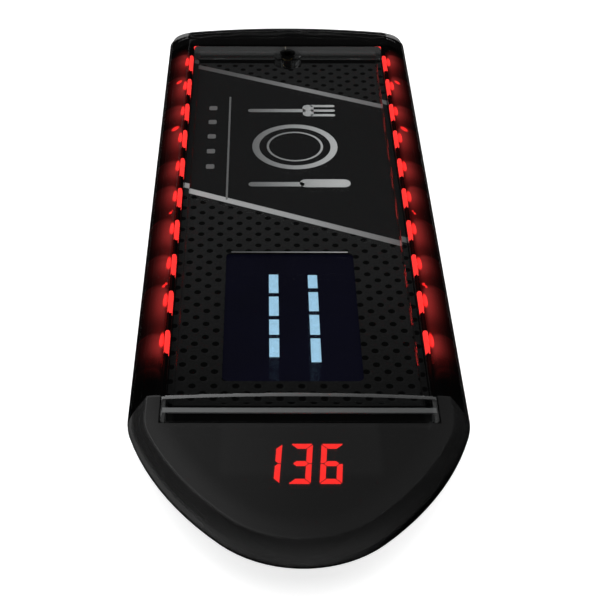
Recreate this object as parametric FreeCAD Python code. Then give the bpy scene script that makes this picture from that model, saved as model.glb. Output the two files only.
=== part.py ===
import FreeCAD, Part
import math
import os

from FreeCAD import Vector

# A paddle-shaped guest pager: a smoked shell over a dark hull, with a clear cover
# over an advertising card, a small screen, a three-digit number and two rows of
# red lights.  Millimetres; +Z up, +Y towards the square far end, origin under the
# middle of the body on the surface that it rests on.

# ---------------------------------------------------------------- driving dimensions
BODY_LENGTH = 254.0
BODY_WIDTH = 83.3
NOSE_LENGTH = 43.8          # from the nose tip to where its flanks meet the sides
TIP_RADIUS = 27.6
SHOULDER_ANGLE = 16.0       # between a side and its flank, degrees
SHOULDER_RADIUS = 19.3
END_ARC_RADIUS = 195.0      # the far end is a shallow arc
CORNER_RADIUS = 8.5
SMALLEST_CORNER = 1.5

FOOT_PROUD = 0.8            # how far the rubber feet lift the hull
HULL_HEIGHT = 12.4
HULL_INSET = 11.9           # how far the hull draws in from its rim to its floor
BELT_HEIGHT = 0.5           # upright stretch above the seam
MAIN_BAND = ((1.2, 2.3), (6.4, 5.0))    # (inset, rise above the seam) of the side slope
POD_BAND = ((0.5, 2.2), (3.1, 6.6))     # the same at the raised display end
POD_NARROWING = 1.9         # how much more its crown draws in at the sides than round the nose
SHELL_WALL = 1.8
HULL_WALL = 2.0
EDGE_SOFTNESS = 0.4         # rounding of the belt and the pod's crown
KNEE_SOFTNESS = 0.8         # of the long body's knee
CROWN_SOFTNESS = 1.2
HULL_SOFTNESS = 3.0

SEAL_INSET = 0.95
SEAL_WIDTH = 0.7
SEAL_DEPTH = 0.5

WINDOW_WIDTH = 65.2
WINDOW_LENGTH = 194.4
WINDOW_END_GAP = 20.4       # from the window's far edge to the far end
WINDOW_CORNER = 1.2
POD_WINDOW_EXTRA = 0.8      # the opening is this much wider each side in the pod
POD_WINDOW_DEPTH = 1.4      # and its ledge lies this far below the main top
POD_SETBACK = 9.6           # from the window's near edge to the step up to the pod
POD_CORNER_RADIUS = 8.0     # of the pod's rear corners in plan
POD_CORNER_OUTSET = 1.0     # their rounding would end this far outside the body
WELL_WALL = 1.4

FIT_GAP = 0.3
COVER_GAP = 0.15
COVER_PLATE = 2.0
COVER_SKIRT = 1.8
COVER_NEAR_WALL = 3.4
COVER_STEP_WALL = 1.5       # across the step
COVER_STEP_SIDE = 1.5       # and at its two sides
COVER_STEP_PAST = 0.2       # how far the step reaches past the pod
COVER_STEP_BOW = 1.1        # the step across the cover bows towards the far end
COVER_BOSS_RADIUS = 4.6
COVER_EDGE_RADIUS = 0.4

CARD_DEPTH = 5.0            # card face below the main top
CARD_THICKNESS = 0.4
CARD_LENGTH = 179.3
CARD_END_GAP = 5.4          # from the window's far edge to the card
CARD_CORNER = 1.0

TRAY_PLATE = 1.6
TRAY_FLANGE = 1.4
TRAY_LAP = 2.8              # how far the flange reaches past the window
TRAY_FRAME = 5.0            # width of the flange's frame inside the window

SCREEN_CENTRE = (-1.1, -39.0)
SCREEN_SIZE = (35.8, 55.0)
SCREEN_CORNER = 1.6
PANEL_MARGIN = 0.8          # glass hidden under the card all round
PANEL_THICKNESS = 1.5
GLASS_THICKNESS = 0.7
PANEL_DEPTH = 0.8           # glass below the card face
FOAM_THICKNESS = 1.2

STOP_RIB_WIDTH = 1.9
STOP_RIB_HEIGHT = 0.8
STOP_RIB_GAP = 0.8
END_BAR_SETBACK = 4.8       # from the window's near edge to the bar over it
END_BAR_WIDTH = 1.65
END_BAR_HEIGHT = 0.8

DIGITS_SHOWN = "136"
DIGIT_HEIGHT = 12.8
DIGIT_WIDTH = 5.2
DIGIT_PITCH = 7.15
DIGIT_CENTRE_Y = -99.45
DIGIT_SLANT = 4.0           # degrees
SEGMENT_WIDTH = 1.4
SEGMENT_GAP = 0.14
SEGMENT_THICKNESS = 0.3
MODULE_MARGIN = 1.6
MODULE_HEIGHT = 6.0

LIGHT_COUNT = 10
LIGHT_PITCH = 16.79
LIGHT_LAST_Y = 99.5
LIGHT_SIZE = (2.0, 3.2, 0.9)
STRIP_WIDTH = 2.4
STRIP_THICKNESS = 0.8
STRIP_OVERHANG = 6.0
DIFFUSER_THICKNESS = 0.8

BOARD_THICKNESS = 1.2
BOARD_WIDTH = 58.0
BOARD_SPAN = (-84.0, 4.0)
BOARD_POSTS = ((24.5, -79.0), (24.5, -2.0))
SMALL_POST_RADIUS = 2.2
SMALL_SCREW_RADIUS = 0.8
SMALL_HEAD_RADIUS = 1.6
SMALL_HEAD_HEIGHT = 1.0

BATTERY_SIZE = (34.0, 62.0, 5.0)
BATTERY_CENTRE_Y = 53.0
STRAP_THICKNESS = 0.8
STRAP_WIDTH = 9.0
STRAP_POST_X = 22.4
STRAP_POST_RISE = 2.4
FENCE = 1.2                 # ribs round the battery
FENCE_RISE = 2.5

MOTOR_RADIUS = 2.75
MOTOR_LENGTH = 12.0
MOTOR_CENTRE = (-3.0, -101.0)
BOOT_WALL = 0.5
BOOT_LENGTH = 8.0
CRADLE_RISE = 0.3           # boot above the floor
CRADLE_RIB = 1.2
CRADLE_GRIP = 1.0           # ribs reach this far above the motor's axis
SHAFT_RADIUS = 0.5
SHAFT_LENGTH = 6.0
RUNNING_GAP = 0.05
WEIGHT_RADIUS = 2.6
WEIGHT_LENGTH = 4.0
WEIGHT_STANDOFF = 1.5

SHELL_SCREWS = ((21.0, -92.0), (24.0, 110.6))   # into bosses of the shell, both sides
TRAY_BOSS_SPOT = (24.5, 13.0)                   # into bosses of the tray, both sides
TRAY_SCREWS = ((27.5, -90.6), (10.0, 110.6))    # hold the tray to the shell
SHELL_BOSS_DROP = 4.2       # the shell's bosses reach this far below the seam
TRAY_BOSS_DROP = 3.8
BOSS_RADIUS = 3.2
SCREW_RADIUS = 1.2
SCREW_CLEARANCE = 0.2
SCREW_HEAD_RADIUS = 2.2
SCREW_HEAD_HEIGHT = 1.6
SCREW_SEAT_RISE = 3.2       # head seat above the hull's underside
HEX_WIDTH_SHARE = 0.5       # of a screw head's radius
HEX_DEPTH_SHARE = 0.6       # of its height
INSERT_RADIUS = 1.9
INSERT_LENGTH = 3.4

COVER_SCREW_RADIUS = 1.25
COVER_SCREW_HEAD_RADIUS = 2.6
COVER_SCREW_HEAD_HEIGHT = 1.5
COVER_SCREW_WELL_GAP = 0.2  # round the head
COVER_SCREW_WELL_DEPTH = 2.4
WASHER_THICKNESS = 0.4
COVER_INSERT_LENGTH = 3.0

FOOT_RADIUS = 4.0
FOOT_THICKNESS = 1.6
FOOT_SPOTS = ((22.0, -72.0), (22.0, 98.0))
CONTACT_RADIUS = 3.0
CONTACT_RIM = 0.8
CONTACT_RIM_THICKNESS = 0.6
CONTACT_SPOT = (10.0, -80.0)
CONTACT_RECESS = 0.3
LABEL_SIZE = (44.0, 30.0)
LABEL_DEPTH = 0.4
LABEL_THICKNESS = 0.2
LABEL_CENTRE_Y = 40.0

LEAD_RADIUS = 0.25
LEAD_BEND = 1.0
MOTOR_LEAD_SPACING = 0.9    # half the distance between the two wires
MOTOR_LEAD_OFFSET = 4.0     # from the motor's rear to the turn
MOTOR_LEAD_DROP_Y = -87.5
BATTERY_LEAD_XS = (-1.5, 0.0, 1.5)
BATTERY_LEAD_RISE_Y = 13.0
RIBBON_THICKNESS = 0.2
RIBBON_LEVEL = 2.0          # level stretch at the panel
SCREEN_RIBBON_X = (-11.0, 9.0)
DISPLAY_RIBBON_X = (-4.0, 4.0)
LIGHT_LEAD_Y = -59.5
SOCKET_WIDTH = 3.0
SOCKET_HEIGHT = 1.4
SOCKET_RIM = 2.0            # how much wider a socket is than its cable
SCREEN_SOCKET_Y = -74.0
DISPLAY_SOCKET_Y = -93.5
DISPLAY_PLUG_Y = -82.0
MOTOR_SOCKET_Y = -82.0
LIGHT_SOCKET_X = 26.0
PLUG_WIDTH = 6.6
PLUG_LENGTH = 4.0
PLUG_HEIGHT = 1.8
CHIPS = (((15.5, -76.0), (8.0, 8.0)), ((-20.0, -71.0), (6.0, 5.0)), ((12.0, -4.0), (5.0, 5.0)))
CHIP_HEIGHT = 1.1
SHIELD_SPOT = (-24.0, -35.0)
SHIELD_SIZE = (6.4, 18.0)
SHIELD_HEIGHT = 1.9
CRYSTAL_SPOT = (21.5, -71.0)
CRYSTAL_SIZE = (3.2, 5.0)
CAPACITOR_SPOTS = ((-20.0, -5.0), (-14.0, -5.0), (23.5, -12.0))
CAPACITOR_RADIUS = 1.8
CAPACITOR_HEIGHT = 1.8
ANTENNA_SPAN = (-52.0, -20.0)
ANTENNA_X = (22.5, 26.0)
ANTENNA_RISE = 1.3
ANTENNA_THICKNESS = 0.4
SMALL_BITE = 4.0            # how far small screws reach into their posts
STRAP_BITE = 3.0
BATTERY_CORNER = 2.0
SPRING_THICKNESS = 0.3
SPRING_WIDTH = 2.4
SPRING_STEP = 1.2
SPRING_FOOT = 2.0

BUZZER_RADIUS = 6.0
BUZZER_HEIGHT = 4.4
BUZZER_SPOT = (-12.0, -66.0)
BUZZER_PORT_RADIUS = 1.6
SOUND_HOLE_RADIUS = 0.7
SOUND_RING_RADIUS = 2.6
SOUND_HOLES = 6

# ------------------------------------------------------------------- derived levels
HALF_LENGTH = BODY_LENGTH / 2
HALF_WIDTH = BODY_WIDTH / 2
TIP_Y = -HALF_LENGTH
SEAM_Z = FOOT_PROUD + HULL_HEIGHT
MAIN_TOP = SEAM_Z + MAIN_BAND[-1][1]
POD_TOP = SEAM_Z + POD_BAND[-1][1]
FLOOR_Z = FOOT_PROUD + HULL_WALL
ROOT_Z = FLOOR_Z - HULL_WALL / 2    # posts start inside the hull's floor
WINDOW_X = WINDOW_WIDTH / 2
WINDOW_FAR = HALF_LENGTH - WINDOW_END_GAP
WINDOW_NEAR = WINDOW_FAR - WINDOW_LENGTH
WELL_X = WINDOW_X + WELL_WALL
POD_REAR = WINDOW_NEAR + POD_SETBACK
POD_WINDOW_X = WINDOW_X + POD_WINDOW_EXTRA
LEDGE_Z = MAIN_TOP - POD_WINDOW_DEPTH
CARD_TOP = MAIN_TOP - CARD_DEPTH
TRAY_TOP = CARD_TOP - CARD_THICKNESS
TRAY_UNDER = TRAY_TOP - TRAY_PLATE
FLANGE_UNDER = TRAY_UNDER - TRAY_FLANGE
CARD_FAR = WINDOW_FAR - CARD_END_GAP
CARD_NEAR = CARD_FAR - CARD_LENGTH
CARD_X = WINDOW_X - FIT_GAP
CARD_CENTRE = (0, (CARD_NEAR + CARD_FAR) / 2)
COVER_X = WINDOW_X - COVER_GAP
COVER_NEAR = WINDOW_NEAR + COVER_GAP
COVER_FAR = WINDOW_FAR - COVER_GAP
COVER_SCREW_Y = COVER_FAR - COVER_BOSS_RADIUS
COVER_SEAT_Z = MAIN_TOP - COVER_SCREW_WELL_DEPTH
COVER_INSERT_Z = TRAY_TOP - COVER_INSERT_LENGTH
PANEL_TOP = CARD_TOP - PANEL_DEPTH
PANEL_BACK = PANEL_TOP - GLASS_THICKNESS - PANEL_THICKNESS
PANEL_SIZE = (SCREEN_SIZE[0] + 2 * PANEL_MARGIN, SCREEN_SIZE[1] + 2 * PANEL_MARGIN)
BOARD_TOP = PANEL_BACK - FOAM_THICKNESS
BOARD_UNDER = BOARD_TOP - BOARD_THICKNESS
SHELL_BOSS_Z = SEAM_Z - SHELL_BOSS_DROP
TRAY_BOSS_Z = TRAY_UNDER - TRAY_BOSS_DROP
SCREW_SEAT_Z = FOOT_PROUD + SCREW_SEAT_RISE
DIGIT_FACE = POD_TOP - SHELL_WALL - FIT_GAP
MODULE_TOP = DIGIT_FACE - SEGMENT_THICKNESS
MODULE_UNDER = MODULE_TOP - MODULE_HEIGHT
MODULE_WIDTH = 2 * DIGIT_PITCH + DIGIT_WIDTH + 2 * MODULE_MARGIN
MODULE_LENGTH = DIGIT_HEIGHT + 2 * MODULE_MARGIN
DISPLAY_POST_X = MODULE_WIDTH / 2 + SMALL_POST_RADIUS + FIT_GAP
MOTOR_Z = FLOOR_Z + CRADLE_RISE + BOOT_WALL + MOTOR_RADIUS
STRIP_X = WELL_X + FIT_GAP + STRIP_WIDTH / 2
LIGHT_YS = [LIGHT_LAST_Y - i * LIGHT_PITCH for i in range(LIGHT_COUNT)]
LIGHTS_NEAR = LIGHT_YS[-1] - STRIP_OVERHANG
LIGHTS_FAR = LIGHT_LAST_Y + STRIP_OVERHANG
LEAD_SPOT = (WELL_X + 2 * LEAD_RADIUS + COVER_GAP, LIGHT_LEAD_Y)
BATTERY_TOP = FLOOR_Z + BATTERY_SIZE[2]
STRAP_SEAT_Z = FLOOR_Z + STRAP_POST_RISE
HULL_PROFILE = [(HULL_INSET, FOOT_PROUD), (0.0, SEAM_Z)]


# ------------------------------------------------------------------ basic shapes
def block(x0, x1, y0, y1, z0, z1):
    """A box between two corners."""
    return Part.makeBox(x1 - x0, y1 - y0, z1 - z0, Vector(x0, y0, z0))


def slab(centre, size, z0, z1):
    """A box given by its middle and size in plan and its two levels."""
    (cx, cy), (sx, sy) = centre, size
    return block(cx - sx / 2, cx + sx / 2, cy - sy / 2, cy + sy / 2, z0, z1)


def rounded_slab(centre, size, z0, z1, radius):
    """A slab with its four upright edges rounded."""
    body = slab(centre, size, z0, z1)
    upright = [e for e in body.Edges if abs(e.Vertexes[0].Z - e.Vertexes[-1].Z) > (z1 - z0) / 2]
    return body.makeFillet(radius, upright)


def rod(spot, z0, z1, radius):
    """An upright cylinder."""
    return Part.makeCylinder(radius, z1 - z0, Vector(spot[0], spot[1], z0))


def lying_rod(x0, x1, y, z, radius):
    """A cylinder along X."""
    return Part.makeCylinder(radius, x1 - x0, Vector(x0, y, z), Vector(1, 0, 0))


def tube(spot, z0, z1, outer, inner):
    """An upright tube."""
    return rod(spot, z0, z1, outer).cut(rod(spot, z0, z1, inner))


def prism(points, z0, z1):
    """An upright prism on a polygon."""
    corners = [Vector(x, y, z0) for x, y in points]
    face = Part.Face(Part.makePolygon(corners + corners[:1]))
    return face.extrude(Vector(0, 0, z1 - z0))


def hexagon(spot, radius, z0, z1):
    """An upright six-sided prism, for screw sockets."""
    angles = [math.radians(60 * i) for i in range(6)]
    corners = [(spot[0] + radius * math.cos(a), spot[1] + radius * math.sin(a)) for a in angles]
    return prism(corners, z0, z1)


def mirrored(shape):
    """The same shape on the other side of the middle plane."""
    return shape.mirror(Vector(0, 0, 0), Vector(1, 0, 0))


def sides(spots):
    """Each spot and its mirror image."""
    return [(sign * x, y) for x, y in spots for sign in (-1, 1)]


STRAP_SPOTS = sides([(STRAP_POST_X, BATTERY_CENTRE_Y)])
DISPLAY_SPOTS = sides([(DISPLAY_POST_X, DIGIT_CENTRE_Y)])


def join(shapes):
    """One shape from several that touch."""
    return shapes[0].fuse(shapes[1:]).removeSplitter()


def edges_at(shape, level):
    """The edges that lie at a level."""
    near = 1e-3
    return [e for e in shape.Edges if abs(e.BoundBox.ZMin - level) < near and e.BoundBox.ZLength < near]


def export(name, *shapes):
    """Write one node, as one solid or as a group of separate solids."""
    shape = shapes[0] if len(shapes) == 1 else Part.makeCompound(list(shapes))
    shape.exportStep("parts/" + name + ".step")


# ------------------------------------------------------------------ the plan outline
def nose_arcs(inset):
    """Centres and radii of the tip arc and the right flank arc, drawn in by inset."""
    tip = Vector(0, TIP_Y + TIP_RADIUS, 0)
    corner = Vector(HALF_WIDTH, TIP_Y + NOSE_LENGTH, 0)
    angle = math.radians(SHOULDER_ANGLE)
    outward = Vector(math.cos(angle), -math.sin(angle), 0)
    reach = corner - tip
    flank_radius = (reach.Length ** 2 - TIP_RADIUS ** 2) / (2 * (outward.dot(reach) - TIP_RADIUS))
    return tip, TIP_RADIUS - inset, corner - outward * flank_radius, flank_radius - inset


def towards(centre, point, radius):
    """The point at a radius from centre in the direction of another point."""
    return centre + (point - centre).normalize() * radius


def arc_run(centre, start, finish, radius):
    """Start, middle and finish of the shorter arc round a centre."""
    return start, centre + ((start - centre) + (finish - centre)).normalize() * radius, finish


def flip(point):
    """A point on the other side of the middle plane."""
    return Vector(-point.x, point.y, point.z)


def outline(inset, level, narrowing=0.0):
    """The closed plan outline, drawn in by inset and narrowed at its sides, at a level."""
    tip, tip_r, flank, flank_r = nose_arcs(inset)
    side = HALF_WIDTH - inset - narrowing
    shoulder_r = max(SHOULDER_RADIUS - inset, SMALLEST_CORNER)
    corner_r = max(CORNER_RADIUS - inset, SMALLEST_CORNER)
    end_r = END_ARC_RADIUS - inset
    end = Vector(0, HALF_LENGTH - END_ARC_RADIUS, 0)
    across = side - shoulder_r - flank.x
    shoulder_y = flank.y - math.sqrt((flank_r - shoulder_r) ** 2 - across ** 2)
    shoulder = Vector(side - shoulder_r, shoulder_y, 0)
    corner_y = end.y + math.sqrt((end_r - corner_r) ** 2 - (side - corner_r) ** 2)
    corner = Vector(side - corner_r, corner_y, 0)
    tip_join = tip + (tip - flank).normalize() * tip_r
    flank_join = towards(flank, shoulder, flank_r)
    end_join = towards(end, corner, end_r)
    side_low = Vector(side, shoulder.y, 0)
    side_high = Vector(side, corner.y, 0)
    right = [
        arc_run(flank, tip_join, flank_join, flank_r),
        arc_run(shoulder, flank_join, side_low, shoulder_r),
        (side_low, side_high),
        arc_run(corner, side_high, end_join, corner_r),
    ]
    left = [tuple(flip(p) for p in reversed(run)) for run in reversed(right)]
    nose = (flip(tip_join), tip + Vector(0, -tip_r, 0), tip_join)
    far = (end_join, end + Vector(0, end_r, 0), flip(end_join))
    runs = [nose] + right + [far] + left
    curves = [Part.Arc(*run) if len(run) == 3 else Part.LineSegment(*run) for run in runs]
    wire = Part.Wire([curve.toShape() for curve in curves])
    wire.translate(Vector(0, 0, level))
    return wire


def stack(profile):
    """A solid through outlines given as (inset, level), straight between them."""
    return Part.makeLoft([outline(inset, level) for inset, level in profile], True, True)


def pod_stack(profile):
    """The same for the pod, whose sides draw in more and more from its belt to its crown."""
    rings = []
    for inset, level in profile:
        rise = max(0.0, level - SEAM_Z - BELT_HEIGHT)
        rings.append(outline(inset, level, POD_NARROWING * rise / (POD_BAND[-1][1] - BELT_HEIGHT)))
    return Part.makeLoft(rings, True, True)


def inner_profile(profile, wall, low, high):
    """A profile moved inwards by a wall and cut off at two levels."""
    lines = []
    for (inset_a, level_a), (inset_b, level_b) in zip(profile, profile[1:]):
        along = Vector(inset_b - inset_a, level_b - level_a, 0).normalize()
        lines.append((Vector(inset_a, level_a, 0) + Vector(along.y, -along.x, 0) * wall, along))
    corners = []
    for (start_a, along_a), (start_b, along_b) in zip(lines, lines[1:]):
        gap = start_b - start_a
        run = (gap.x * along_b.y - gap.y * along_b.x) / (along_a.x * along_b.y - along_a.y * along_b.x)
        corners.append(start_a + along_a * run)
    ends = []
    for (start, along), level in ((lines[0], low), (lines[-1], high)):
        ends.append(start + along * ((level - start.y) / along.y))
    return [(p.x, p.y) for p in [ends[0]] + corners + [ends[1]]]


def band_profile(band):
    """The outside of the shell from the seam up, as (inset, level)."""
    upright = [(0.0, SEAM_Z), (0.0, SEAM_Z + BELT_HEIGHT)]
    return upright + [(inset, SEAM_Z + rise) for inset, rise in band]


def band_inside(band, wall):
    """The inside of the shell, a wall in from its outside."""
    profile = band_profile(band)
    return inner_profile(profile[1:], wall, SEAM_Z, profile[-1][1] - wall)


def softened(solid, levels, radius):
    """A stack with its ring edges rounded at some levels."""
    return solid.makeFillet(radius, [e for level in levels for e in edges_at(solid, level)])


# ------------------------------------------------------------------ thin bent pieces
def bent_strip(path, thickness, x0, x1):
    """A strip bent along a (y, z) path, thickened to its left, between two X."""
    points = [Vector(x0, y, z) for y, z in path]
    runs = [(b - a).normalize() for a, b in zip(points, points[1:])]
    normals = [Vector(0, -run.z, run.y) for run in runs]
    mitres = [(a + b) * (1 / (1 + a.dot(b))) for a, b in zip(normals, normals[1:])]
    shifts = [normals[0]] + mitres + [normals[-1]]
    edge = points + [p + s * thickness for p, s in zip(points, shifts)][::-1]
    return Part.Face(Part.makePolygon(edge + edge[:1])).extrude(Vector(x1 - x0, 0, 0))


def lead(points, radius, bend):
    """A round wire along straight runs joined by tangent arcs."""
    points = [Vector(*p) for p in points]
    edges, start = [], points[0]
    for before, corner, after in zip(points, points[1:], points[2:]):
        back = (before - corner).normalize()
        ahead = (after - corner).normalize()
        half = back.getAngle(ahead) / 2
        trim = bend / math.tan(half)
        entry, leave = corner + back * trim, corner + ahead * trim
        centre = corner + (back + ahead).normalize() * (bend / math.sin(half))
        edges.append(Part.LineSegment(start, entry).toShape())
        edges.append(Part.Arc(entry, towards(centre, corner, bend), leave).toShape())
        start = leave
    edges.append(Part.LineSegment(start, points[-1]).toShape())
    section = Part.Wire([Part.Circle(points[0], points[1] - points[0], radius).toShape()])
    return Part.Wire(edges).makePipeShell([section], True, True)


def socket_screw(spot, seat, head_up, tip, radius, head_radius, head_height):
    """A screw with a hexagonal socket; seat is where its head bears."""
    sign = 1 if head_up else -1
    crown = seat + sign * head_height
    floor = crown - sign * head_height * HEX_DEPTH_SHARE
    head = rod(spot, min(seat, crown), max(seat, crown), head_radius)
    shank = rod(spot, min(seat, tip), max(seat, tip), radius)
    socket = hexagon(spot, head_radius * HEX_WIDTH_SHARE, min(floor, crown), max(floor, crown))
    return join([head, shank]).cut(socket)


# ------------------------------------------------------------------ the hull
def hull_room(low, high, gap):
    """The room inside the hull between two levels, less a gap."""
    return stack(inner_profile(HULL_PROFILE, HULL_WALL + gap, low, high))


def seal_ring():
    """The ring that lies in the rim of the hull."""
    levels = (SEAM_Z - SEAL_DEPTH, SEAM_Z)
    outer = stack([(SEAL_INSET, level) for level in levels])
    inner = stack([(SEAL_INSET + SEAL_WIDTH, level) for level in levels])
    return outer.cut(inner)


def motor_cradle():
    """Two ribs that hold the motor's rubber boot."""
    x, y = MOTOR_CENTRE
    reach = MOTOR_RADIUS + BOOT_WALL
    ribs = []
    for offset in (-BOOT_LENGTH / 4, BOOT_LENGTH / 4):
        middle = (x + offset, y)
        size = (CRADLE_RIB, 2 * reach + 2 * CRADLE_RIB)
        ribs.append(slab(middle, size, ROOT_Z, MOTOR_Z + CRADLE_GRIP))
    seat = lying_rod(x - BOOT_LENGTH, x + BOOT_LENGTH, y, MOTOR_Z, reach + RUNNING_GAP)
    return [rib.cut(seat) for rib in ribs]


def battery_fences():
    """Low ribs at the battery's far end and sides."""
    width, length, _ = BATTERY_SIZE
    away = FENCE / 2 + FIT_GAP
    top = FLOOR_Z + FENCE_RISE
    far_end = (0, BATTERY_CENTRE_Y + length / 2 + away)
    fences = [slab(far_end, (width / 2, FENCE), ROOT_Z, top)]
    for along in (-length / 3, length / 3):
        for spot in sides([(width / 2 + away, BATTERY_CENTRE_Y + along)]):
            fences.append(slab(spot, (FENCE, length / 6), ROOT_Z, top))
    return fences


def bottom_housing():
    """The dark hull with its bosses, posts and seats."""
    hull = softened(stack(HULL_PROFILE), [FOOT_PROUD], HULL_SOFTNESS)
    posts = [rod(s, ROOT_Z, SHELL_BOSS_Z, BOSS_RADIUS) for s in sides(SHELL_SCREWS)]
    posts += [rod(s, ROOT_Z, TRAY_BOSS_Z, BOSS_RADIUS) for s in sides([TRAY_BOSS_SPOT])]
    posts += [rod(s, ROOT_Z, BOARD_UNDER, SMALL_POST_RADIUS) for s in sides(BOARD_POSTS)]
    posts += [rod(s, ROOT_Z, STRAP_SEAT_Z, SMALL_POST_RADIUS) for s in STRAP_SPOTS]
    body = hull.cut(stack(inner_profile(HULL_PROFILE, HULL_WALL, FLOOR_Z, SEAM_Z)))
    body = join([body] + [p.common(hull) for p in posts + motor_cradle() + battery_fences()])

    cutters = [seal_ring()]
    for spot in sides(SHELL_SCREWS + (TRAY_BOSS_SPOT,)):
        cutters.append(rod(spot, 0, SEAM_Z, SCREW_RADIUS + SCREW_CLEARANCE))
        cutters.append(rod(spot, 0, SCREW_SEAT_Z, SCREW_HEAD_RADIUS + FIT_GAP))
    for spot in sides(BOARD_POSTS):
        cutters.append(rod(spot, FLOOR_Z, SEAM_Z, SMALL_SCREW_RADIUS))
    for spot in STRAP_SPOTS:
        cutters.append(rod(spot, ROOT_Z, SEAM_Z, SMALL_SCREW_RADIUS))
    for spot in sides(FOOT_SPOTS):
        cutters.append(rod(spot, 0, FOOT_THICKNESS, FOOT_RADIUS + COVER_GAP))
    for spot in sides([CONTACT_SPOT]):
        cutters.append(rod(spot, 0, SEAM_Z, CONTACT_RADIUS))
    for i in range(SOUND_HOLES):
        turn = 2 * math.pi * i / SOUND_HOLES
        x = BUZZER_SPOT[0] + SOUND_RING_RADIUS * math.cos(turn)
        y = BUZZER_SPOT[1] + SOUND_RING_RADIUS * math.sin(turn)
        cutters.append(rod((x, y), 0, SEAM_Z, SOUND_HOLE_RADIUS))
    recess = rounded_slab((0, LABEL_CENTRE_Y), LABEL_SIZE, 0, FOOT_PROUD + LABEL_DEPTH, CARD_CORNER)
    return body.cut(cutters + [recess])


# ------------------------------------------------------------------ the smoked shell
def window_slab(z0, z1, grow):
    """The rounded rectangle of the window, made larger all round."""
    centre = (0, (WINDOW_NEAR + WINDOW_FAR) / 2)
    size = (WINDOW_WIDTH + 2 * grow, WINDOW_LENGTH + 2 * grow)
    return rounded_slab(centre, size, z0, z1, WINDOW_CORNER + max(grow, 0))


def raised_opening(gap, low, high):
    """The wider opening in the raised end, made smaller by a gap, with near corners rounded."""
    side = POD_WINDOW_X - gap
    near = WINDOW_NEAR + gap
    body = block(-side, side, near, POD_REAR - gap, low, high)
    upright = [e for e in body.Edges if e.BoundBox.ZLength > (high - low) / 2]
    return body.makeFillet(WINDOW_CORNER, [e for e in upright if e.BoundBox.YMax < POD_REAR - WINDOW_CORNER])


def pod_block(inset):
    """The upright block that bounds the pod's rear, with its corners rounded, drawn in by inset."""
    side = HALF_WIDTH + POD_CORNER_OUTSET - inset
    rear = POD_REAR - inset
    body = block(-side, side, -BODY_LENGTH, rear, SEAM_Z, POD_TOP)
    upright = [e for e in body.Edges if e.BoundBox.ZLength > e.BoundBox.DiagonalLength / 2]
    return body.makeFillet(POD_CORNER_RADIUS - inset, [e for e in upright if e.BoundBox.YMax > TIP_Y])


def shell_outside():
    """The outer solid: the long body, and the taller display end."""
    belt, knee, crown = (SEAM_Z + rise for rise in (BELT_HEIGHT, MAIN_BAND[0][1], MAIN_BAND[1][1]))
    body = stack(band_profile(MAIN_BAND))
    body = softened(body, [crown], CROWN_SOFTNESS)
    body = softened(body, [knee], KNEE_SOFTNESS)
    body = softened(body, [belt], EDGE_SOFTNESS)
    pod_crown = SEAM_Z + POD_BAND[-1][1]
    pod = pod_stack(band_profile(POD_BAND))
    pod = softened(pod, [pod_crown], EDGE_SOFTNESS)
    pod = softened(pod, [belt], EDGE_SOFTNESS)
    near_half = pod_block(0)
    far_half = block(-BODY_WIDTH, BODY_WIDTH, POD_REAR - POD_CORNER_RADIUS, BODY_LENGTH, SEAM_Z, POD_TOP)
    return join([body.common(far_half.cut(near_half)), pod.common(near_half)])


def top_shell():
    """The smoked upper shell with its well, bosses and posts."""
    outside = shell_outside()
    pod_room = pod_stack(band_inside(POD_BAND, SHELL_WALL))
    shell = outside.cut([stack(band_inside(MAIN_BAND, SHELL_WALL)), pod_room.common(pod_block(SHELL_WALL))])
    additions = [window_slab(TRAY_UNDER, MAIN_TOP - SHELL_WALL / 2, WELL_WALL)]
    ceiling = MAIN_TOP - SHELL_WALL / 2
    pod_ceiling = POD_TOP - SHELL_WALL / 2
    for x, y in sides(SHELL_SCREWS):
        additions.append(rod((x, y), SHELL_BOSS_Z, pod_ceiling if y < POD_REAR else ceiling, BOSS_RADIUS))
    for x, y in sides(TRAY_SCREWS):
        top = pod_ceiling if y < POD_REAR else ceiling
        additions.append(rod((x, y), TRAY_UNDER, top, SMALL_POST_RADIUS))
    for spot in DISPLAY_SPOTS:
        additions.append(rod(spot, MODULE_UNDER, pod_ceiling, SMALL_POST_RADIUS))
    shell = join([shell] + additions)
    pod_window = raised_opening(0, LEDGE_Z, POD_TOP + SHELL_WALL)
    cutters = [window_slab(0, POD_TOP + SHELL_WALL, 0), pod_window]
    for spot in sides(SHELL_SCREWS):
        cutters.append(rod(spot, SHELL_BOSS_Z, SHELL_BOSS_Z + INSERT_LENGTH, INSERT_RADIUS))
        cutters.append(rod(spot, SHELL_BOSS_Z, SHELL_BOSS_Z + INSERT_LENGTH + FIT_GAP, SCREW_RADIUS))
    for spot in sides(TRAY_SCREWS):
        cutters.append(rod(spot, TRAY_UNDER, MAIN_TOP - SHELL_WALL - FIT_GAP, SMALL_SCREW_RADIUS))
    for spot in DISPLAY_SPOTS:
        cutters.append(rod(spot, MODULE_UNDER, MODULE_TOP - FIT_GAP, SMALL_SCREW_RADIUS))
    return shell.cut(cutters)


def diffuser():
    """The right-hand liner under the side slope, above the lights."""
    depth = SHELL_WALL + FIT_GAP
    outer = stack(band_inside(MAIN_BAND, depth))
    inner = stack(band_inside(MAIN_BAND, depth + DIFFUSER_THICKNESS))
    keep = block(WELL_X + FIT_GAP, HALF_WIDTH, LIGHTS_NEAR, LIGHTS_FAR, SEAM_Z + FIT_GAP, MAIN_TOP)
    return outer.cut(inner).common(keep)


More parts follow.
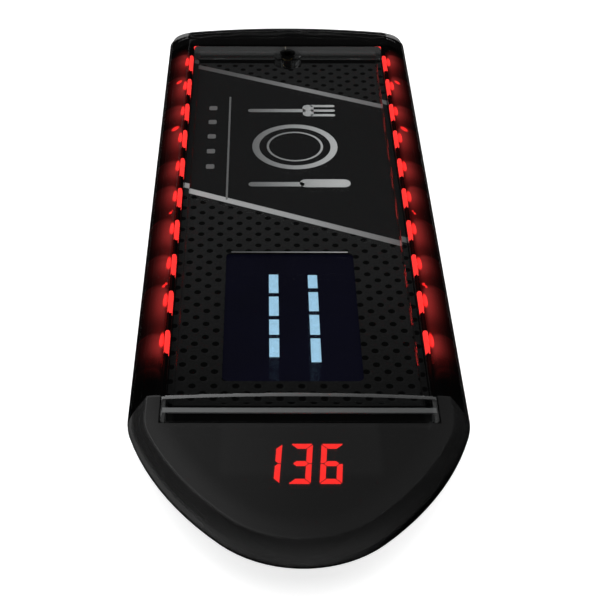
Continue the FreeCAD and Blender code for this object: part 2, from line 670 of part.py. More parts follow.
# ------------------------------------------------------------------ tray, card and cover
def insert_tray():
    """The black floor of the window, with its flange, bosses and screen opening."""
    body = window_slab(TRAY_UNDER, TRAY_TOP, -FIT_GAP)
    middle = (0, (WINDOW_NEAR + WINDOW_FAR) / 2)
    lap, frame = 2 * TRAY_LAP, 2 * TRAY_FRAME
    flange = slab(middle, (WINDOW_WIDTH + lap, WINDOW_LENGTH + lap), FLANGE_UNDER, TRAY_UNDER)
    hole = slab(middle, (WINDOW_WIDTH - frame, WINDOW_LENGTH - frame), FLANGE_UNDER, TRAY_UNDER)
    tabs = [rod(s, FLANGE_UNDER, TRAY_UNDER, BOSS_RADIUS) for s in sides(TRAY_SCREWS)]
    rim = join([flange.cut(hole)] + tabs).common(hull_room(FLANGE_UNDER, TRAY_UNDER, FIT_GAP))
    posts = [rod(s, TRAY_BOSS_Z, TRAY_UNDER, BOSS_RADIUS) for s in sides([TRAY_BOSS_SPOT])]
    cover_post = (0, COVER_SCREW_Y)
    posts.append(rod(cover_post, TRAY_BOSS_Z, TRAY_UNDER, BOSS_RADIUS))
    tray = join([body, rim, stop_rib(0)] + posts)

    opening = (PANEL_SIZE[0] + 2 * COVER_GAP, PANEL_SIZE[1] + 2 * COVER_GAP)
    cutters = [rounded_slab(SCREEN_CENTRE, opening, 0, MAIN_TOP, CARD_CORNER)]
    for spot in sides(SHELL_SCREWS):
        cutters.append(rod(spot, 0, MAIN_TOP, BOSS_RADIUS + FIT_GAP))
    for spot in sides([TRAY_BOSS_SPOT]):
        cutters.append(rod(spot, TRAY_BOSS_Z, TRAY_BOSS_Z + INSERT_LENGTH, INSERT_RADIUS))
    for spot in sides(TRAY_SCREWS):
        cutters.append(rod(spot, 0, TRAY_TOP, SMALL_SCREW_RADIUS + SCREW_CLEARANCE))
    cutters.append(rod(cover_post, COVER_INSERT_Z, TRAY_TOP, INSERT_RADIUS))
    hole_radius = COVER_SCREW_RADIUS + SCREW_CLEARANCE
    cutters.append(rod(cover_post, COVER_INSERT_Z - FIT_GAP, TRAY_TOP, hole_radius))
    for spot in sides([LEAD_SPOT]):
        notch = (4 * LEAD_RADIUS + FIT_GAP, 8 * LEAD_RADIUS)
        cutters.append(slab(spot, notch, FLANGE_UNDER, TRAY_UNDER))
    return tray.cut(cutters)


def ad_card():
    """The printed card, cut out for the screen and notched round the cover's boss."""
    card = rounded_slab(CARD_CENTRE, (2 * CARD_X, CARD_LENGTH), TRAY_TOP, CARD_TOP, CARD_CORNER)
    screen = rounded_slab(SCREEN_CENTRE, SCREEN_SIZE, TRAY_TOP, CARD_TOP, SCREEN_CORNER)
    notch = rod((0, COVER_SCREW_Y), TRAY_TOP, CARD_TOP, COVER_BOSS_RADIUS + FIT_GAP)
    return card.cut([screen, notch])


def stop_rib(gap):
    """The tray's rib that the card's near end butts against, made larger by a gap."""
    far = CARD_NEAR - STOP_RIB_GAP
    near = far - STOP_RIB_WIDTH
    return block(-CARD_X, CARD_X, near - gap, far + gap, TRAY_TOP, TRAY_TOP + STOP_RIB_HEIGHT + gap)


def end_bar(gap, low):
    """The bar across the raised opening, which lies on its ledges, made larger by a gap and taken down to low."""
    side = POD_WINDOW_X - COVER_GAP + gap
    near = WINDOW_NEAR + END_BAR_SETBACK
    return block(-side, side, near - gap, near + END_BAR_WIDTH + gap, low, LEDGE_Z + END_BAR_HEIGHT + gap)


def raised_plan(half_width, near, rear, bow, z0, z1):
    """A prism whose far edge is an arc that bows towards the far end."""
    corners = [Vector(-half_width, rear, z0), Vector(-half_width, near, z0)]
    corners += [Vector(half_width, near, z0), Vector(half_width, rear, z0)]
    edges = [Part.LineSegment(a, b).toShape() for a, b in zip(corners, corners[1:])]
    edges.append(Part.Arc(corners[3], Vector(0, rear + bow, z0), corners[0]).toShape())
    return Part.Face(Part.Wire(edges)).extrude(Vector(0, 0, z1 - z0))


def ad_cover():
    """The clear lid: a plate on a skirt, stepped up at the display end, with a screw boss."""
    body = window_slab(TRAY_TOP, MAIN_TOP, -COVER_GAP)
    rear = POD_REAR + COVER_STEP_PAST
    under = MAIN_TOP - COVER_PLATE
    step = raised_plan(COVER_X, COVER_NEAR + WINDOW_CORNER, rear, COVER_STEP_BOW, under, POD_TOP)
    lip = raised_opening(COVER_GAP, LEDGE_Z + COVER_GAP, POD_TOP)
    outer = join([body, step, lip])
    outer = outer.makeFillet(COVER_EDGE_RADIUS, edges_at(outer, POD_TOP))
    inner_x = COVER_X - COVER_SKIRT
    inner_near = COVER_NEAR + COVER_NEAR_WALL
    room = block(-inner_x, inner_x, inner_near, COVER_FAR - COVER_SKIRT, TRAY_TOP, under)
    step_x = POD_WINDOW_X - COVER_GAP - COVER_STEP_SIDE
    step_room = raised_plan(step_x, inner_near, rear - COVER_STEP_WALL, COVER_STEP_BOW,
                            TRAY_TOP, POD_TOP - COVER_PLATE)
    post = (0, COVER_SCREW_Y)
    lid = outer.cut([room, step_room])
    lid = join([lid, rod(post, TRAY_TOP, MAIN_TOP - COVER_PLATE / 2, COVER_BOSS_RADIUS)])
    card_room = slab(CARD_CENTRE, (WINDOW_WIDTH, CARD_LENGTH + FIT_GAP), TRAY_TOP, CARD_TOP)
    return lid.cut([
        card_room.cut(rod(post, TRAY_TOP, CARD_TOP, COVER_BOSS_RADIUS)),
        stop_rib(COVER_GAP),
        end_bar(COVER_GAP, TRAY_TOP),
        rod(post, 0, MAIN_TOP, COVER_SCREW_RADIUS + SCREW_CLEARANCE),
        rod(post, COVER_SEAT_Z, MAIN_TOP, COVER_SCREW_HEAD_RADIUS + COVER_SCREW_WELL_GAP),
    ])


# ------------------------------------------------------------------ the number display
def digit_segments(lit):
    """Thin tiles for the lit, or the unlit, bars of the three digits."""
    w, h, s, g = DIGIT_WIDTH, DIGIT_HEIGHT, SEGMENT_WIDTH, SEGMENT_GAP
    middle = h / 2
    top = [(g, h), (w - g, h), (w - s - g, h - s), (s + g, h - s)]
    upper = [(w, h - g), (w, middle + g), (w - s / 2, middle + g), (w - s, middle + s / 2 + g)]
    upper.append((w - s, h - s - g))
    bar = [(s / 2 + g, middle), (s + g, middle + s / 2), (w - s - g, middle + s / 2)]
    bar += [(w - x, h - y) for x, y in bar]
    tiles = {
        "a": top,
        "b": upper,
        "c": [(x, h - y) for x, y in upper],
        "d": [(x, h - y) for x, y in top],
        "e": [(w - x, h - y) for x, y in upper],
        "f": [(w - x, y) for x, y in upper],
        "g": bar,
    }
    shown = {"1": "bc", "3": "abcdg", "6": "acdefg"}
    lean = math.tan(math.radians(DIGIT_SLANT))
    solids = []
    for place, digit in enumerate(DIGITS_SHOWN):
        left = (place - 1) * DIGIT_PITCH - w / 2
        for name, corners in tiles.items():
            if (name in shown[digit]) == lit:
                plan = [(left + x + (y - h / 2) * lean, DIGIT_CENTRE_Y + y - h / 2) for x, y in corners]
                solids.append(prism(plan, MODULE_TOP, DIGIT_FACE))
    return solids


# ------------------------------------------------------------------ motor and battery
def motor_weight():
    """The half disc that shakes the pager."""
    x = MOTOR_CENTRE[0] + MOTOR_LENGTH / 2 + WEIGHT_STANDOFF
    y = MOTOR_CENTRE[1]
    disc = lying_rod(x, x + WEIGHT_LENGTH, y, MOTOR_Z, WEIGHT_RADIUS)
    above = block(x, x + WEIGHT_LENGTH, y - WEIGHT_RADIUS, y + WEIGHT_RADIUS, MOTOR_Z + 2 * SHAFT_RADIUS,
                  MOTOR_Z + WEIGHT_RADIUS)
    return disc.cut([above, lying_rod(x, x + WEIGHT_LENGTH, y, MOTOR_Z, SHAFT_RADIUS)])


def motor_parts():
    """The can, its front bush, the shaft and the rubber boot."""
    x, y = MOTOR_CENTRE
    rear, front = x - MOTOR_LENGTH / 2, x + MOTOR_LENGTH / 2
    depth = MOTOR_LENGTH / 2
    bush_r = 3 * SHAFT_RADIUS
    bush_end = front + WEIGHT_STANDOFF / 2
    shaft = lying_rod(front - depth, front + SHAFT_LENGTH, y, MOTOR_Z, SHAFT_RADIUS)
    hollow = lying_rod(front - depth - RUNNING_GAP, bush_end, y, MOTOR_Z, SHAFT_RADIUS + RUNNING_GAP)
    bush_seat = lying_rod(front - bush_r, bush_end, y, MOTOR_Z, bush_r)
    can = lying_rod(rear, front, y, MOTOR_Z, MOTOR_RADIUS).cut([hollow, bush_seat])
    bush = bush_seat.cut(hollow)
    sleeve = lying_rod(x - BOOT_LENGTH / 2, x + BOOT_LENGTH / 2, y, MOTOR_Z, MOTOR_RADIUS + BOOT_WALL)
    boot = sleeve.cut(lying_rod(rear, front, y, MOTOR_Z, MOTOR_RADIUS))
    return can, bush, shaft, boot


def battery_strap():
    """A sprung strap over the battery, screwed to two posts."""
    wall = BATTERY_SIZE[0] / 2 + FIT_GAP + STRAP_THICKNESS
    foot = STRAP_POST_X + SMALL_POST_RADIUS
    seat, top = STRAP_SEAT_Z, BATTERY_TOP
    half = [(wall, top), (wall, seat), (foot, seat)]
    path = [(-y, z) for y, z in reversed(half)] + half
    strip = bent_strip(path, STRAP_THICKNESS, -STRAP_WIDTH / 2, STRAP_WIDTH / 2)
    strip.rotate(Vector(0, 0, 0), Vector(0, 0, 1), -90)
    strip.translate(Vector(0, BATTERY_CENTRE_Y, 0))
    return strip.cut([rod(s, 0, SEAM_Z, SMALL_SCREW_RADIUS + SCREW_CLEARANCE) for s in STRAP_SPOTS])


# ------------------------------------------------------------------ boards and wiring
def on_board(centre, size, height):
    """A component that stands on the main board."""
    return slab(centre, size, BOARD_TOP, BOARD_TOP + height)


def main_board():
    """The main board with holes for its screws."""
    near, far = BOARD_SPAN
    size = (BOARD_WIDTH, far - near)
    board = rounded_slab((0, (near + far) / 2), size, BOARD_UNDER, BOARD_TOP, CARD_CORNER)
    hole = SMALL_SCREW_RADIUS + SCREW_CLEARANCE
    return board.cut([rod(s, BOARD_UNDER, BOARD_TOP, hole) for s in sides(BOARD_POSTS)])


def capacitors():
    """Small round capacitors on the board."""
    return [rod(spot, BOARD_TOP, BOARD_TOP + CAPACITOR_HEIGHT, CAPACITOR_RADIUS) for spot in CAPACITOR_SPOTS]


def antenna_strip():
    """The bent metal antenna along the board's right side."""
    near, far = ANTENNA_SPAN
    top = BOARD_TOP + ANTENNA_RISE
    foot = 2 * STRAP_THICKNESS
    path = [(near - foot, BOARD_TOP), (near, BOARD_TOP), (near, top), (far, top), (far, BOARD_TOP)]
    path.append((far + foot, BOARD_TOP))
    return bent_strip(path, ANTENNA_THICKNESS, *ANTENNA_X)


def screen_ribbon():
    """The flat cable from the panel's near edge down to its socket."""
    near = SCREEN_CENTRE[1] - PANEL_SIZE[1] / 2
    low = BOARD_TOP + FIT_GAP
    high = PANEL_BACK + FIT_GAP
    path = [(SCREEN_SOCKET_Y, low), (near - 2 * RIBBON_LEVEL, low), (near - RIBBON_LEVEL, high), (near, high)]
    return bent_strip(path, RIBBON_THICKNESS, *SCREEN_RIBBON_X)


def display_ribbon():
    """The flat cable from the number display back to the main board."""
    low = BOARD_TOP + FIT_GAP
    path = [(DISPLAY_SOCKET_Y, low), (DISPLAY_PLUG_Y, low)]
    return bent_strip(path, RIBBON_THICKNESS, *DISPLAY_RIBBON_X)


def motor_leads():
    """Two wires from the motor's rear to the board."""
    rear = MOTOR_CENTRE[0] - MOTOR_LENGTH / 2
    level = BOARD_TOP + LEAD_RADIUS
    wires = []
    for shift in (-MOTOR_LEAD_SPACING, MOTOR_LEAD_SPACING):
        y = MOTOR_CENTRE[1] + shift
        x = rear - MOTOR_LEAD_OFFSET + shift
        route = [(rear, y, MOTOR_Z), (x, y, MOTOR_Z), (x, MOTOR_LEAD_DROP_Y, MOTOR_Z)]
        route += [(x, MOTOR_LEAD_DROP_Y, level), (x, MOTOR_SOCKET_Y, level)]
        wires.append(lead(route, LEAD_RADIUS, LEAD_BEND))
    return wires


def battery_leads():
    """Three wires from the battery up to its plug."""
    start = BATTERY_CENTRE_Y - BATTERY_SIZE[1] / 2
    low = FLOOR_Z + BATTERY_SIZE[2] / 2
    high = BOARD_TOP + PLUG_HEIGHT / 2
    plug_end = BOARD_SPAN[1] + PLUG_LENGTH / 2
    rise = BATTERY_LEAD_RISE_Y
    path = [(start, low), (rise, low), (rise, high), (plug_end, high)]
    return [lead([(x, y, z) for y, z in path], LEAD_RADIUS, LEAD_BEND) for x in BATTERY_LEAD_XS]


def light_lead():
    """The wire from the right light board down to the main board."""
    x, y = LEAD_SPOT
    high = TRAY_UNDER + STRIP_THICKNESS / 2
    low = BOARD_TOP + LEAD_RADIUS
    inner = LIGHT_SOCKET_X + SOCKET_WIDTH / 2
    return lead([(x, LIGHTS_NEAR, high), (x, y, high), (x, y, low), (inner, y, low)], LEAD_RADIUS, LEAD_BEND)


def sockets():
    """The sockets on the main board, one for each cable."""
    half = SOCKET_WIDTH / 2
    screen_width = SCREEN_RIBBON_X[1] - SCREEN_RIBBON_X[0] + SOCKET_RIM
    display_width = DISPLAY_RIBBON_X[1] - DISPLAY_RIBBON_X[0] + SOCKET_RIM
    motor_x = MOTOR_CENTRE[0] - MOTOR_LENGTH / 2 - MOTOR_LEAD_OFFSET
    places = [
        ((sum(SCREEN_RIBBON_X) / 2, SCREEN_SOCKET_Y - half), screen_width),
        ((0, DISPLAY_PLUG_Y + half), display_width),
        ((motor_x, MOTOR_SOCKET_Y + half), 2 * SOCKET_WIDTH),
        ((0, BOARD_SPAN[1] - PLUG_LENGTH / 2 - half), PLUG_WIDTH + SOCKET_RIM),
    ]
    places += [(spot, SOCKET_WIDTH) for spot in sides([(LIGHT_SOCKET_X, LIGHT_LEAD_Y)])]
    return [on_board(spot, (width, SOCKET_WIDTH), SOCKET_HEIGHT) for spot, width in places]


def contact(spot):
    """A charging contact: a disc through the hull with a rim inside."""
    low = FOOT_PROUD + CONTACT_RECESS
    rim = rod(spot, FLOOR_Z, FLOOR_Z + CONTACT_RIM_THICKNESS, CONTACT_RADIUS + CONTACT_RIM)
    return join([rod(spot, low, FLOOR_Z, CONTACT_RADIUS), rim])


def contact_spring(spot):
    """The bent leaf between a contact and the board."""
    x, y = spot
    low = FLOOR_Z + CONTACT_RIM_THICKNESS
    high = BOARD_UNDER - SPRING_THICKNESS
    step, foot = SPRING_STEP, SPRING_FOOT
    path = [(y - step - foot, low), (y - step, low), (y, high), (y + foot, high)]
    return bent_strip(path, SPRING_THICKNESS, x - SPRING_WIDTH / 2, x + SPRING_WIDTH / 2)


def buzzer():
    """The sounder under the board, with its port over the holes in the floor."""
    body = rod(BUZZER_SPOT, BOARD_UNDER - BUZZER_HEIGHT, BOARD_UNDER, BUZZER_RADIUS)
    return body.cut(rod(BUZZER_SPOT, 0, BOARD_UNDER - BUZZER_HEIGHT / 2, BUZZER_PORT_RADIUS))


def small_screw(spot, seat, head_up, length):
    """A board screw with its head bearing at seat."""
    tip = seat - length if head_up else seat + length
    return socket_screw(spot, seat, head_up, tip, SMALL_SCREW_RADIUS, SMALL_HEAD_RADIUS, SMALL_HEAD_HEIGHT)


# ------------------------------------------------------------------ write the nodes
def write_case():
    """The housing, its seal, fasteners and what is under it."""
    export("bottom_housing", bottom_housing())
    export("top_shell", top_shell())
    export("housing_seal", seal_ring())
    screws, inserts = [], []
    for spot in sides(SHELL_SCREWS + (TRAY_BOSS_SPOT,)):
        boss = TRAY_BOSS_Z if spot[1] == TRAY_BOSS_SPOT[1] else SHELL_BOSS_Z
        tip = boss + INSERT_LENGTH
        head = (SCREW_HEAD_RADIUS, SCREW_HEAD_HEIGHT)
        screws.append(socket_screw(spot, SCREW_SEAT_Z, False, tip, SCREW_RADIUS, *head))
        inserts.append(tube(spot, boss, tip, INSERT_RADIUS, SCREW_RADIUS))
    export("housing_screws", *screws)
    export("threaded_inserts", *inserts)
    export("rubber_feet", *[rod(s, 0, FOOT_THICKNESS, FOOT_RADIUS) for s in sides(FOOT_SPOTS)])
    top = FOOT_PROUD + LABEL_DEPTH
    size = [side - 2 * FIT_GAP for side in LABEL_SIZE]
    label = rounded_slab((0, LABEL_CENTRE_Y), size, top - LABEL_THICKNESS, top, CARD_CORNER)
    export("blank_label", label)
    export("charging_contacts", *[contact(s) for s in sides([CONTACT_SPOT])])
    export("contact_springs", *[contact_spring(s) for s in sides([CONTACT_SPOT])])


def write_window():
    """The tray, the card and the clear cover with its screw."""
    post = (0, COVER_SCREW_Y)
    export("insert_tray", insert_tray())
    screws = [small_screw(s, FLANGE_UNDER, False, TRAY_FLANGE + SMALL_BITE) for s in sides(TRAY_SCREWS)]
    export("tray_screws", *screws)
    export("ad_card", ad_card())
    export("window_end_bar", end_bar(0, LEDGE_Z))
    export("ad_cover", ad_cover())
    hole = COVER_SCREW_RADIUS + RUNNING_GAP
    export("cover_insert", tube(post, COVER_INSERT_Z, TRAY_TOP, INSERT_RADIUS, hole))
    seat = COVER_SEAT_Z + WASHER_THICKNESS
    washer_radius = COVER_SCREW_HEAD_RADIUS
    export("screw_washer", tube(post, COVER_SEAT_Z, seat, washer_radius, hole))
    head = (COVER_SCREW_HEAD_RADIUS, COVER_SCREW_HEAD_HEIGHT)
    export("cover_screw", socket_screw(post, seat, True, COVER_INSERT_Z, COVER_SCREW_RADIUS, *head))


def write_screen():
    """The screen under the card's opening."""
    middle = PANEL_TOP - GLASS_THICKNESS
    export("screen_glass", rounded_slab(SCREEN_CENTRE, PANEL_SIZE, middle, PANEL_TOP, CARD_CORNER))
    export("screen_panel", rounded_slab(SCREEN_CENTRE, PANEL_SIZE, PANEL_BACK, middle, CARD_CORNER))
    export("screen_foam", slab(SCREEN_CENTRE, PANEL_SIZE, BOARD_TOP, PANEL_BACK))
    export("screen_ribbon", screen_ribbon())


def write_display():
    """The number display under the raised end."""
    hole = SMALL_SCREW_RADIUS + SCREW_CLEARANCE
    board_z = MODULE_UNDER - BOARD_THICKNESS
    centre = (0, DIGIT_CENTRE_Y)
    size = (2 * (DISPLAY_POST_X + SMALL_POST_RADIUS), MODULE_LENGTH)
    board = rounded_slab(centre, size, board_z, MODULE_UNDER, CARD_CORNER)
    export("display_board", board.cut([rod(s, 0, MODULE_UNDER, hole) for s in DISPLAY_SPOTS]))
    screws = [small_screw(s, board_z, False, BOARD_THICKNESS + SMALL_BITE) for s in DISPLAY_SPOTS]
    export("display_screws", *screws)
    export("digit_module", slab(centre, (MODULE_WIDTH, MODULE_LENGTH), MODULE_UNDER, MODULE_TOP))
    export("lit_segments", *digit_segments(True))
    export("unlit_segments", *digit_segments(False))
    width = DISPLAY_RIBBON_X[1] - DISPLAY_RIBBON_X[0] + SOCKET_RIM
    spot = (0, DISPLAY_SOCKET_Y - SOCKET_WIDTH / 2)
    export("display_socket", slab(spot, (width, SOCKET_WIDTH), BOARD_TOP + FIT_GAP, board_z))
    export("display_ribbon", display_ribbon())


def write_lights():
    """The two rows of lights under the side slopes."""
    length = LIGHTS_FAR - LIGHTS_NEAR
    size = (STRIP_WIDTH, length)
    base = TRAY_UNDER + STRIP_THICKNESS
    strip = slab((STRIP_X, (LIGHTS_NEAR + LIGHTS_FAR) / 2), size, TRAY_UNDER, base)
    lights = [slab((STRIP_X, y), LIGHT_SIZE[:2], base, base + LIGHT_SIZE[2]) for y in LIGHT_YS]
    liner = diffuser()
    export("right_light_board", strip)
    export("left_light_board", mirrored(strip))
    export("right_lights", *lights)
    export("left_lights", *[mirrored(light) for light in lights])
    export("right_light_diffuser", liner)
    export("left_light_diffuser", mirrored(liner))
    export("light_leads", light_lead(), mirrored(light_lead()))


def write_electronics():
    """The main board and what is on it."""
    export("main_board", main_board())
    screws = [small_screw(s, BOARD_TOP, True, BOARD_THICKNESS + SMALL_BITE) for s in sides(BOARD_POSTS)]
    export("board_screws", *screws)
    export("board_chips", *[on_board(spot, size, CHIP_HEIGHT) for spot, size in CHIPS])
    export("radio_shield", on_board(SHIELD_SPOT, SHIELD_SIZE, SHIELD_HEIGHT))
    export("timing_crystal", on_board(CRYSTAL_SPOT, CRYSTAL_SIZE, CHIP_HEIGHT))
    export("capacitors", *capacitors())
    export("board_sockets", *sockets())
    export("antenna_strip", antenna_strip())
    export("buzzer", buzzer())


def write_power():
    """The battery and the vibration motor."""
    width, length, _ = BATTERY_SIZE
    centre = (0, BATTERY_CENTRE_Y)
    pack = rounded_slab(centre, (width, length), FLOOR_Z, BATTERY_TOP, BATTERY_CORNER)
    export("battery_pack", pack)
    export("battery_strap", battery_strap())
    seat = STRAP_SEAT_Z + STRAP_THICKNESS
    length = STRAP_THICKNESS + STRAP_BITE
    export("strap_screws", *[small_screw(s, seat, True, length) for s in STRAP_SPOTS])
    plug = (PLUG_WIDTH, PLUG_LENGTH)
    export("battery_plug", slab((0, BOARD_SPAN[1]), plug, BOARD_TOP, BOARD_TOP + PLUG_HEIGHT))
    export("battery_leads", *battery_leads())
    can, bush, shaft, boot = motor_parts()
    export("motor_can", can)
    export("motor_bush", bush)
    export("motor_shaft", shaft)
    export("motor_boot", boot)
    export("motor_weight", motor_weight())
    export("motor_leads", *motor_leads())


def main():
    """Build and write every node."""
    os.makedirs("parts", exist_ok=True)
    write_case()
    write_window()
    write_screen()
    write_display()
    write_lights()
    write_electronics()
    write_power()


main()
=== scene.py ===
import logging
import math
from dataclasses import dataclass
from enum import Enum
from typing import Any, Iterable, Sequence

import bmesh
import bpy
from mathutils import Matrix, Vector


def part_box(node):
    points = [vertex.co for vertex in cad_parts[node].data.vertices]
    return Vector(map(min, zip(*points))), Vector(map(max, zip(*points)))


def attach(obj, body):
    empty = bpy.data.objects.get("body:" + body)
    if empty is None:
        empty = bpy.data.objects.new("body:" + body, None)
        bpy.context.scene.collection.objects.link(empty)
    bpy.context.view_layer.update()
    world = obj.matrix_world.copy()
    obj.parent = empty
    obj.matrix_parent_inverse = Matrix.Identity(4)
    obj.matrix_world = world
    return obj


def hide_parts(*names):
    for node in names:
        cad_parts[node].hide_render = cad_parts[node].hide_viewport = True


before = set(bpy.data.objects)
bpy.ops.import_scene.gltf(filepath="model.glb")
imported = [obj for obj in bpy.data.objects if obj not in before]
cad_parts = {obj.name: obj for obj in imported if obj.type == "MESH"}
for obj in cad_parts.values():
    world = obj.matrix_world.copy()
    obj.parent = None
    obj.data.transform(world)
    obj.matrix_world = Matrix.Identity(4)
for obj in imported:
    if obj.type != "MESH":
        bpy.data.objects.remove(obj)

MM = 0.001
log = logging.getLogger("pager")
finished: dict[str, bpy.types.Material] = {}

Triple = tuple[float, float, float]
Colour = Triple
Spot = tuple[float, float]
Rows = tuple[tuple[Any, ...], ...]
BLACK: Colour = (0.0, 0.0, 0.0)
EVEN: Triple = (1, 1, 1)
FIRST_LIGHT = 99.5
LIGHT_PITCH = 16.79
LIGHT_COUNT = 10


def toned(colour: Colour, by: float) -> Colour:
    """Gives a colour made lighter or darker."""
    return tuple(part * by for part in colour)


# ------------------------------------------------------------------ node writing

@dataclass(frozen=True, eq=False)
class Term:
    """What a node gives out, which reckons like a number.

    Attributes:
        graph: The nodes that it is among.
        socket: Where it comes out.
    """

    graph: "Graph"
    socket: bpy.types.NodeSocket

    def __add__(self, other: Any) -> "Term":
        """Adds a number or another term."""
        return self.graph.math("ADD", self, other)

    def __sub__(self, other: Any) -> "Term":
        """Takes away a number or another term."""
        return self.graph.math("SUBTRACT", self, other)

    def __rsub__(self, other: float) -> "Term":
        """Takes this away from a number."""
        return self.graph.math("SUBTRACT", other, self)

    def __mul__(self, other: Any) -> "Term":
        """Multiplies by a number or another term."""
        return self.graph.math("MULTIPLY", self, other)

    def __truediv__(self, other: Any) -> "Term":
        """Divides by a number or another term."""
        return self.graph.math("DIVIDE", self, other)

    def __abs__(self) -> "Term":
        """Drops the sign."""
        return self.graph.math("ABSOLUTE", self)


class Graph:
    """Writes the nodes of a material or a world in a few words."""

    def __init__(self, owner: bpy.types.Material | bpy.types.World) -> None:
        """Clears the owner's nodes.

        Args:
            owner: The material or world.
        """
        owner.use_nodes = True
        self.tree = owner.node_tree
        self.tree.nodes.clear()

    def feed(self, socket: bpy.types.NodeSocket, value: Any) -> None:
        """Links a socket to a term, or gives it a constant.

        Args:
            socket: The input to fill.
            value: A term, a number or a colour.
        """
        if isinstance(value, Term):
            self.tree.links.new(value.socket, socket)
        elif socket.type == "RGBA":
            socket.default_value = (*value, 1.0)
        else:
            socket.default_value = value

    def node(self, kind: str, inputs: dict[Any, Any], out: int | str = 0, **settings: Any) -> Term:
        """Adds a node.

        Args:
            kind: Its type without its leading "ShaderNode".
            inputs: What goes into it, by the input's name or number.
            out: Name or number of the output to use.
            **settings: Properties to set on it.

        Returns:
            What it gives out.
        """
        made = self.tree.nodes.new("ShaderNode" + kind)
        for key, value in settings.items():
            setattr(made, key, value)
        for key, value in inputs.items():
            self.feed(made.inputs[key], value)
        return Term(self, made.outputs[out])

    def math(self, operation: str, *values: Any, clamp: bool = False) -> Term:
        """Reckons with numbers and terms, and may keep the result between 0 and 1."""
        return self.node("Math", dict(enumerate(values)), operation=operation, use_clamp=clamp)

    def place(self, stretch: Sequence[float] = EVEN) -> Term:
        """Gives the point on the piece in millimetres, with each axis stretched after that."""
        point = self.node("TexCoord", {}, "Object")
        return self.node("VectorMath", {0: point, 1: tuple(s / MM for s in stretch)}, operation="MULTIPLY")

    def axes(self) -> tuple[Term, ...]:
        """Gives x, y and z of the point in millimetres."""
        point = self.place()
        return tuple(self.node("SeparateXYZ", {0: point}, axis) for axis in "XYZ")

    def span(self, dx: Term, dy: Term) -> Term:
        """Gives the length of a step in plan."""
        return self.math("SQRT", dx * dx + dy * dy)

    def noise(self, size: float, detail: float = 3.0, stretch: Sequence[float] = EVEN) -> Term:
        """Gives a noise pattern from 0 to 1, whose blots have a size in millimetres."""
        return self.node("TexNoise", {"Vector": self.place(stretch), "Scale": 1.0 / size, "Detail": detail})

    def cells(self, size: float, feature: str = "F1", stretch: Sequence[float] = EVEN) -> Term:
        """Gives the distance in a pattern of cells, whose size is in millimetres."""
        return self.node("TexVoronoi", {"Vector": self.place(stretch), "Scale": 1.0 / size}, "Distance",
                         feature=feature)

    def fade(self, value: Term, start: float, end: float, low: float = 0.0, high: float = 1.0) -> Term:
        """Maps a value smoothly, to low where it is at start and high where it is at end."""
        return self.node("MapRange", dict(enumerate((value, start, end, low, high))),
                         interpolation_type="SMOOTHSTEP")

    def mix(self, share: Any, a: Any, b: Any) -> Term:
        """Mixes two colours, with a share of the second."""
        return self.node("Mix", {"Factor": share, 6: a, 7: b}, 2, data_type="RGBA")

    def bump(self, height: Term, depth: float) -> Term:
        """Bends the normal by a height, of which 1 is so many millimetres."""
        return self.node("Bump", {"Strength": 1.0, "Distance": depth * MM, "Height": height})

    def path(self, kind: str) -> Term:
        """Gives 1 to one kind of ray, such as Camera, and 0 to the others."""
        return self.node("LightPath", {}, f"Is {kind} Ray")

    def surface(self, **inputs: Any) -> Term:
        """Gives the main shader, from its inputs with _ for a space."""
        return self.node("BsdfPrincipled", {key.replace("_", " "): value for key, value in inputs.items()})

    def blend(self, share: Term, a: Term, b: Term) -> Term:
        """Mixes two shaders, with a share of the second."""
        return self.node("MixShader", {0: share, 1: a, 2: b})

    def finish(self, shader: Term, kind: str = "Material") -> None:
        """Ends the nodes of a material or a world with its shader."""
        self.feed(self.tree.nodes.new("ShaderNodeOutput" + kind).inputs["Surface"], shader)


# ------------------------------------------------------------------ finishes

@dataclass(frozen=True)
class Finish:
    """A surface finish.

    Attributes:
        name: The material's name.
    """

    name: str

    def write(self, graph: Graph) -> Term:
        """Writes the finish into a material.

        Args:
            graph: The material's nodes.

        Returns:
            The shader.
        """
        raise NotImplementedError

    def material(self) -> bpy.types.Material:
        """Gives the finish's one material.

        Returns:
            The material.
        """
        if self.name not in finished:
            finished[self.name] = bpy.data.materials.new(self.name)
            graph = Graph(finished[self.name])
            graph.finish(self.write(graph))
        return finished[self.name]


@dataclass(frozen=True)
class MouldedPlastic(Finish):
    """Opaque moulded plastic with a fine eroded texture."""

    colour: Colour = (0.02, 0.02, 0.02)
    roughness: float = 0.4
    grain: float = 0.25
    depth: float = 0.01
    shine: float = 0.5

    def write(self, graph: Graph) -> Term:
        """Writes flow marks in the colour and grain in the surface.

        Args:
            graph: The material's nodes.

        Returns:
            The shader.
        """
        colour = graph.mix(graph.noise(14.0, 2.0), toned(self.colour, 0.85), toned(self.colour, 1.15))
        grain = graph.noise(self.grain, 2.0)
        rough = graph.fade(grain, 0.2, 0.8, self.roughness * 0.85, min(1.0, self.roughness * 1.15))
        return graph.surface(Base_Color=colour, Roughness=rough, Specular_IOR_Level=self.shine,
                             Normal=graph.bump(grain, self.depth))


